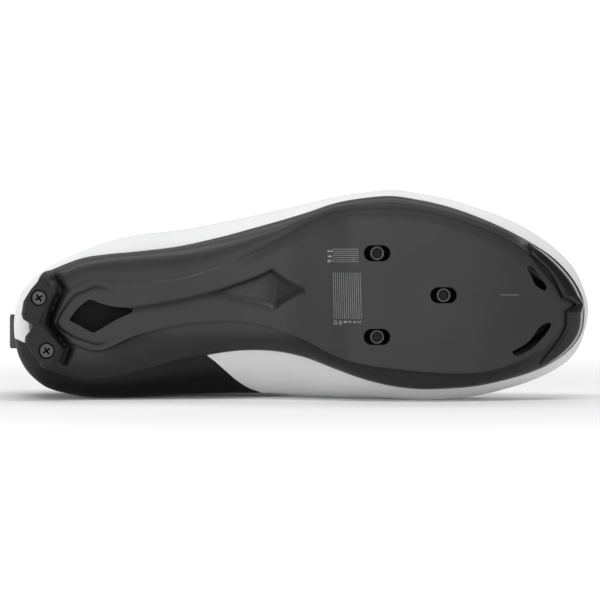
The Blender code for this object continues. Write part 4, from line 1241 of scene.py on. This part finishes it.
def makeInsole():
    cuts = Cuts(placesAround(50, 36, 40))
    low = footbed["wall"]
    rows = []
    for share in np.linspace(0.0, 1.0, footbed["rows"]):
        spots = cuts.at((cuts.base - footbed["inset"]) * share)
        spots[:, 2] = featherHeight(spots[:, 0]) + low
        rows.append(spots)
    for share in np.linspace(1.0, 0.0, footbed["rows"]):
        spots = cuts.at((cuts.base - footbed["inset"] * (1 + 0.3 * (1 - share))) * share)
        lift = footbed["thick"] - footbed["dish"] * (1 - share**2)
        spots[:, 2] = featherHeight(spots[:, 0]) + low + lift
        rows.append(spots)
    faces = gridFaces(len(rows), len(cuts.x), True)
    piece = finishPiece("footbed", np.concatenate(rows), faces, footbedLook, "insole_foam", ["insole"])


def overCrown(x, across):
    low = last["heelFan"] * last["length"]
    part = (x - low) / ((last["toeFan"] - last["heelFan"]) * last["length"])
    lateral = np.asarray(across) >= 0
    cuts = Cuts(np.where(lateral, part, 3 - 1e-9 - part))
    return cuts.dome(cuts.domeTurnAtRadius(np.minimum(np.abs(across), cuts.widest)))


def overCrownLifted(x, across, offset):
    nudge = 0.0015
    spots = overCrown(x, across)
    ahead = overCrown(x + nudge, across) - overCrown(x - nudge, across)
    beside = overCrown(x, across + nudge) - overCrown(x, across - nudge)
    normal = np.cross(ahead, beside)
    normal /= np.linalg.norm(normal, axis=1)[:, None]
    normal *= np.where(normal[:, 2] < 0, -1.0, 1.0)[:, None]
    return spots + np.asarray(offset)[:, None] * normal


crownPlates = {
    "tongue": {"start": 0.335, "end": 0.665, "lateral": 0.029, "medial": 0.029, "lean": 0.0,
               "low": -0.0062, "high": -0.0032, "round": 0.0012, "rows": 60, "across": 40},
    "strap_lower": {"start": 0.515, "end": 0.590, "lateral": 0.037, "medial": 0.033, "lean": -0.10,
                    "low": 0.0005, "high": 0.0021, "round": 0.0008, "rows": 22, "across": 60},
    "strap_upper": {"start": 0.405, "end": 0.490, "lateral": 0.036, "medial": 0.030, "lean": -0.12,
                    "low": 0.0005, "high": 0.0021, "round": 0.0008, "rows": 24, "across": 60},
}


plateSeam = {"inset": 0.0024, "width": 0.0004}


def makeCrownPlate(name, node, material, slot):
    form = crownPlates[node]
    xs = np.linspace(form["start"], form["end"], form["rows"]) * last["length"]
    across = np.linspace(-form["medial"], form["lateral"], form["across"])
    outer = []
    inner = []
    lines = []
    for x in xs:
        fromEnd = np.minimum(np.minimum(x - xs[0], xs[-1] - x),
                             np.minimum(across + form["medial"], form["lateral"] - across))
        ease = np.sqrt(np.clip(1 - (1 - np.clip(fromEnd / form["round"], 0, 1)) ** 2, 0, 1))
        thin = 0.35 * (form["high"] - form["low"]) * (1 - ease)
        spot = x + form["lean"] * across
        outer.append(overCrownLifted(spot, across, form["high"] - thin))
        inner.append(overCrownLifted(spot, across, np.full(len(across), form["low"])))
        lines.append(bell(fromEnd - plateSeam["inset"], plateSeam["width"]))
    piece = plateFromGrids(name, outer, inner, material, slot, [node], 60.0)
    valueAt(piece, "seamLine", np.concatenate(outer), np.concatenate(lines))
    return piece


makeInsole()
tonguePiece = makeCrownPlate("tonguePad", "tongue", tongueLook, "tongue_cloth")
makeCrownPlate("strapLower", "strap_lower", strapLook, "strap_microfibre")
makeCrownPlate("strapUpper", "strap_upper", strapLook, "strap_microfibre")
print("insole, tongue and straps made")

# Pull loop: a band of webbing folded over
pullLoop = {"width": 0.017, "thick": 0.0013, "reach": 0.0085, "side": -0.0085,
            "low": 0.047, "high": 0.069, "foot": 0.006, "seatGap": 0.0005,
            "columns": 20, "arch": 28}


def heelBacks(heights, side):
    cuts = Cuts(3.1 + 0.8 * np.arange(81) / 80)
    edges = cuts.edgeTurn()
    backs = []
    for height in heights:
        low = np.zeros(81)
        high = np.ones(81)
        for _ in range(20):
            middle = 0.5 * (low + high)
            under = cuts.wall(middle, edges)[:, 2] < height
            low = np.where(under, middle, low)
            high = np.where(under, high, middle)
        spots = cuts.wall(low, edges)
        backs.append(np.interp(side, spots[:, 1], spots[:, 0]))
    return np.array(backs)


def loopRoute(side):
    form = pullLoop
    seat = form["seatGap"] + form["thick"] / 2
    lowHeights = np.linspace(form["low"] - form["foot"], form["low"], 6)
    highHeights = np.linspace(form["high"], form["high"] + form["foot"], 6)
    lowFoot = np.column_stack((heelBacks(lowHeights, side) - seat, lowHeights))
    highFoot = np.column_stack((heelBacks(highHeights, side) - seat, highHeights))
    share = np.linspace(0.0, 1.0, form["arch"] + 1)[1:-1]
    middle, half = (form["low"] + form["high"]) / 2, (form["high"] - form["low"]) / 2
    heights = middle - half * np.cos(np.pi * share)
    base = lowFoot[-1, 0] + (highFoot[0, 0] - lowFoot[-1, 0]) * share
    far = form["thick"] / 2 - form["reach"]
    arch = np.column_stack((base + (far - base) * np.sin(np.pi * share) ** 0.8, heights))
    return np.concatenate((lowFoot, arch, highFoot))


def makeLoop():
    form = pullLoop
    outer = []
    inner = []
    spread = np.linspace(-1.0, 1.0, form["columns"])
    for place in spread:
        side = form["side"] + place * form["width"] / 2
        route = loopRoute(side)
        tangent = np.gradient(route, axis=0)
        tangent /= np.linalg.norm(tangent, axis=1)[:, None]
        away = np.stack((-tangent[:, 1], tangent[:, 0]), axis=1)
        half = form["thick"] / 2 * (1 - 0.5 * max(0.0, abs(place) - 0.82) / 0.18)
        for rows, sign in ((outer, 1), (inner, -1)):
            line = route + sign * half * away
            rows.append(np.column_stack((line[:, 0], np.full(len(line), side), line[:, 1])))
    plateFromGrids("pullLoop", outer, inner, webbingLook, "webbing", ["pull_loop"], 60.0)


makeLoop()
print("pull loop made")


# Printed cleat scales: thin lines and plain numbers on the tread
scales = {
    "lift": 0.00004, "thick": 0.00003, "lineWidth": 0.00013,
    "crossLines": {"x": (0.1527, 0.1656), "side": (0.0327, 0.0264), "count": 7},
    "lengthLines": {"x": (0.1530, 0.1664), "side": (0.0210, -0.0019), "count": 14, "lean": 0.0006},
    "crossNumbers": (("2", 0.1513, 0.0317), ("4", 0.1513, 0.0292), ("6", 0.1513, 0.0268)),
    "lengthNumbers": (("12", 0.1541, -0.0036), ("10", 0.1566, -0.0036), ("8", 0.1590, -0.0034),
                      ("6", 0.1613, -0.0034), ("4", 0.1636, -0.0034), ("2", 0.1659, -0.0034)),
    "toeMark": ((0.2363, 0.0101), (0.2400, 0.0101), (0.2451, 0.0101)),
    "crossSize": 0.0032,
    "lengthSize": 0.0023,
}


def ribbon(points, faces, route, width):
    route = np.array(route)
    ahead = np.gradient(route, axis=0)
    ahead /= np.linalg.norm(ahead, axis=1)[:, None]
    beside = np.column_stack((-ahead[:, 1], ahead[:, 0])) * width / 2
    first = len(points)
    for spot, offset in zip(route, beside):
        for sign, lift in ((1, 0), (-1, 0), (-1, 1), (1, 1)):
            x, side = spot + sign * offset
            height = float(treadHeight(x)) - scales["lift"] + scales["thick"] * (1 - lift)
            points.append((x, side, height))
    for row in range(len(route) - 1):
        for index in range(4):
            base = first + 4 * row
            after = (index + 1) % 4
            faces.append((base + index, base + after, base + 4 + after, base + 4 + index))
    end = first + 4 * (len(route) - 1)
    faces.append((first, first + 1, first + 2, first + 3))
    faces.append((end, end + 1, end + 2, end + 3))


def makeScaleLines():
    points = []
    faces = []
    form = scales["crossLines"]
    for side in np.linspace(*form["side"], form["count"]):
        route = [(x, side) for x in np.linspace(*form["x"], 12)]
        ribbon(points, faces, route, scales["lineWidth"])
    form = scales["lengthLines"]
    for x in np.linspace(*form["x"], form["count"]):
        first, end = form["side"]
        route = [(x + form["lean"] * share, first + share * (end - first)) for share in (0.0, 0.5, 1.0)]
        ribbon(points, faces, route, scales["lineWidth"])
    ribbon(points, faces, scales["toeMark"], scales["lineWidth"])
    finishPiece("scaleLines", points, faces, printLook, "carbon_plate")


def makeNumber(name, text, x, side, size):
    curve = bpy.data.curves.new(name, "FONT")
    curve.body = text
    curve.size = size
    curve.align_x = "CENTER"
    curve.align_y = "CENTER"
    curve.extrude = scales["thick"] / 2
    flat = linked(name, curve)
    graph = bpy.context.evaluated_depsgraph_get()
    mesh = bpy.data.meshes.new_from_object(flat.evaluated_get(graph))
    bpy.data.objects.remove(flat)
    spots = np.array([vert.co for vert in mesh.vertices])
    placed = np.column_stack((x + spots[:, 1], side - spots[:, 0], np.zeros(len(spots))))
    placed[:, 2] = treadHeight(placed[:, 0]) - scales["lift"] - spots[:, 2]
    mesh.vertices.foreach_set("co", toRow(placed).astype(np.float32).ravel())
    builder = bmesh.new()
    builder.from_mesh(mesh)
    bmesh.ops.remove_doubles(builder, verts=builder.verts, dist=1e-7)
    bmesh.ops.recalc_face_normals(builder, faces=builder.faces)
    builder.to_mesh(mesh)
    builder.free()
    dress(mesh, printLook)
    piece = linked(name, mesh)
    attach(piece, "root")


makeScaleLines()
for text, x, side in scales["crossNumbers"]:
    makeNumber("crossNumber" + text, text, x, side, scales["crossSize"])
for text, x, side in scales["lengthNumbers"]:
    makeNumber("lengthNumber" + text, text, x, side, scales["lengthSize"])
print("scales made")

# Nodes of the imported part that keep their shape
for nodeName, material in (("heel_pad", padLook), ("cleat_nut_lateral", nutLook),
                           ("cleat_nut_medial", nutLook), ("cleat_nut_front", nutLook),
                           ("heel_screw_lateral", screwLook), ("heel_screw_medial", screwLook)):
    dress(frame["nodes"][nodeName].data, material)


# Studio: a pale floor, soft lights and the camera square to the sole
studio = {
    "floorColour": (0.90, 0.90, 0.90),
    "floorGlow": 0.30,
    "farGlow": 0.60,
    "worldStrength": 0.28,
    "viewWidth": 0.2975,
    "distance": 7.0,
    "centre": (0.1366, 0.0074, 0.0),
    "elevation": 3.15,
    "sensorWidth": 36.0,
    "nearGlow": 0.03,
    "glowReach": (0.15, 0.50),
    "farReach": (0.45, 1.8),
    "floorRadii": (0.5, 1.2, 3.0, 8.0, 20.0),
}


def makeFloor():
    count = 96
    radii = studio["floorRadii"]
    angle = np.arange(count) * 2 * math.pi / count
    points = [(0.0, 0.0, 0.0)]
    for radius in radii:
        points += [(radius * math.cos(turn), radius * math.sin(turn), 0.0) for turn in angle]
    faces = [(0, 1 + index, 1 + (index + 1) % count) for index in range(count)]
    faces += gridFaces(len(radii), count, True, 1)
    mesh = bpy.data.meshes.new("studioFloor")
    mesh.from_pydata(points, [], faces)
    paint = Paint("floorPaper", studio["floorColour"], 0.9, Emission_Strength=1.0,
                  Specular_IOR_Level=0.1)
    cloud = paint.noise(paint.coords(), 3.0, 2.0)
    # Painted light: the floor glows, faintly beside the shoe so its shadow stays, more further out
    flat = paint.vector("LENGTH", paint.coords(), out="Value")
    glow = studio["nearGlow"] + flat.band(*studio["glowReach"]) * studio["floorGlow"]
    glow = glow + flat.band(*studio["farReach"]) * studio["farGlow"]
    paint.finish(Base_Color=paint.mix(cloud, (0.89, 0.89, 0.89), (0.91, 0.91, 0.91)),
                 Emission_Color=paint.mix(glow, (0.0, 0.0, 0.0), (1.0, 1.0, 1.0)))
    dress(mesh, paint.material)
    linked("studioFloor", mesh)


# Lights: place, aim, size, power in watts
lights = {
    "topSoft": ((0.0, -0.35, 1.25), (0.0, 0.0, 0.05), (1.7, 0.32), 9.5),
    "backStrip": ((0.0, 0.50, 1.10), (0.0, 0.0, 0.05), (1.8, 0.5), 4.3),
    "frontFill": ((0.0, -2.3, 0.60), (0.0, 0.0, 0.05), (2.4, 1.2), 12.0),
    "heelRim": ((-1.2, 0.25, 0.20), (-0.1, 0.0, 0.03), (0.5, 0.4), 4.0),
}


def aimed(name, data, place, direction):
    thing = linked(name, data)
    thing.location = place
    thing.rotation_mode = "QUATERNION"
    thing.rotation_quaternion = direction.to_track_quat("-Z", "Y")
    return thing


def makeLights():
    for name, (place, aim, size, power) in lights.items():
        lamp = bpy.data.lights.new(name, "AREA")
        lamp.shape = "RECTANGLE"
        lamp.size, lamp.size_y = size
        lamp.energy = power
        aimed(name, lamp, place, Vector(aim) - Vector(place))


def makeWorld():
    world = bpy.data.worlds.new("studioWorld")
    world.use_nodes = True
    sky = world.node_tree.nodes["Background"]
    sky.inputs["Color"].default_value = (1.0, 1.0, 1.0, 1.0)
    sky.inputs["Strength"].default_value = studio["worldStrength"]
    bpy.context.scene.world = world


def makeCamera():
    aim = Vector(toRow([studio["centre"]])[0])
    angle = math.radians(studio["elevation"])
    back = Vector((0.0, -math.cos(angle), math.sin(angle)))
    camera = bpy.data.cameras.new("studioCamera")
    camera.sensor_width = studio["sensorWidth"]
    camera.lens = studio["sensorWidth"] * studio["distance"] / studio["viewWidth"]
    place = aim + back * studio["distance"]
    bpy.context.scene.camera = aimed("studioCamera", camera, place, -back)


makeFloor()
makeLights()
makeWorld()
makeCamera()
bpy.context.scene.view_settings.view_transform = "Standard"
print("studio made")
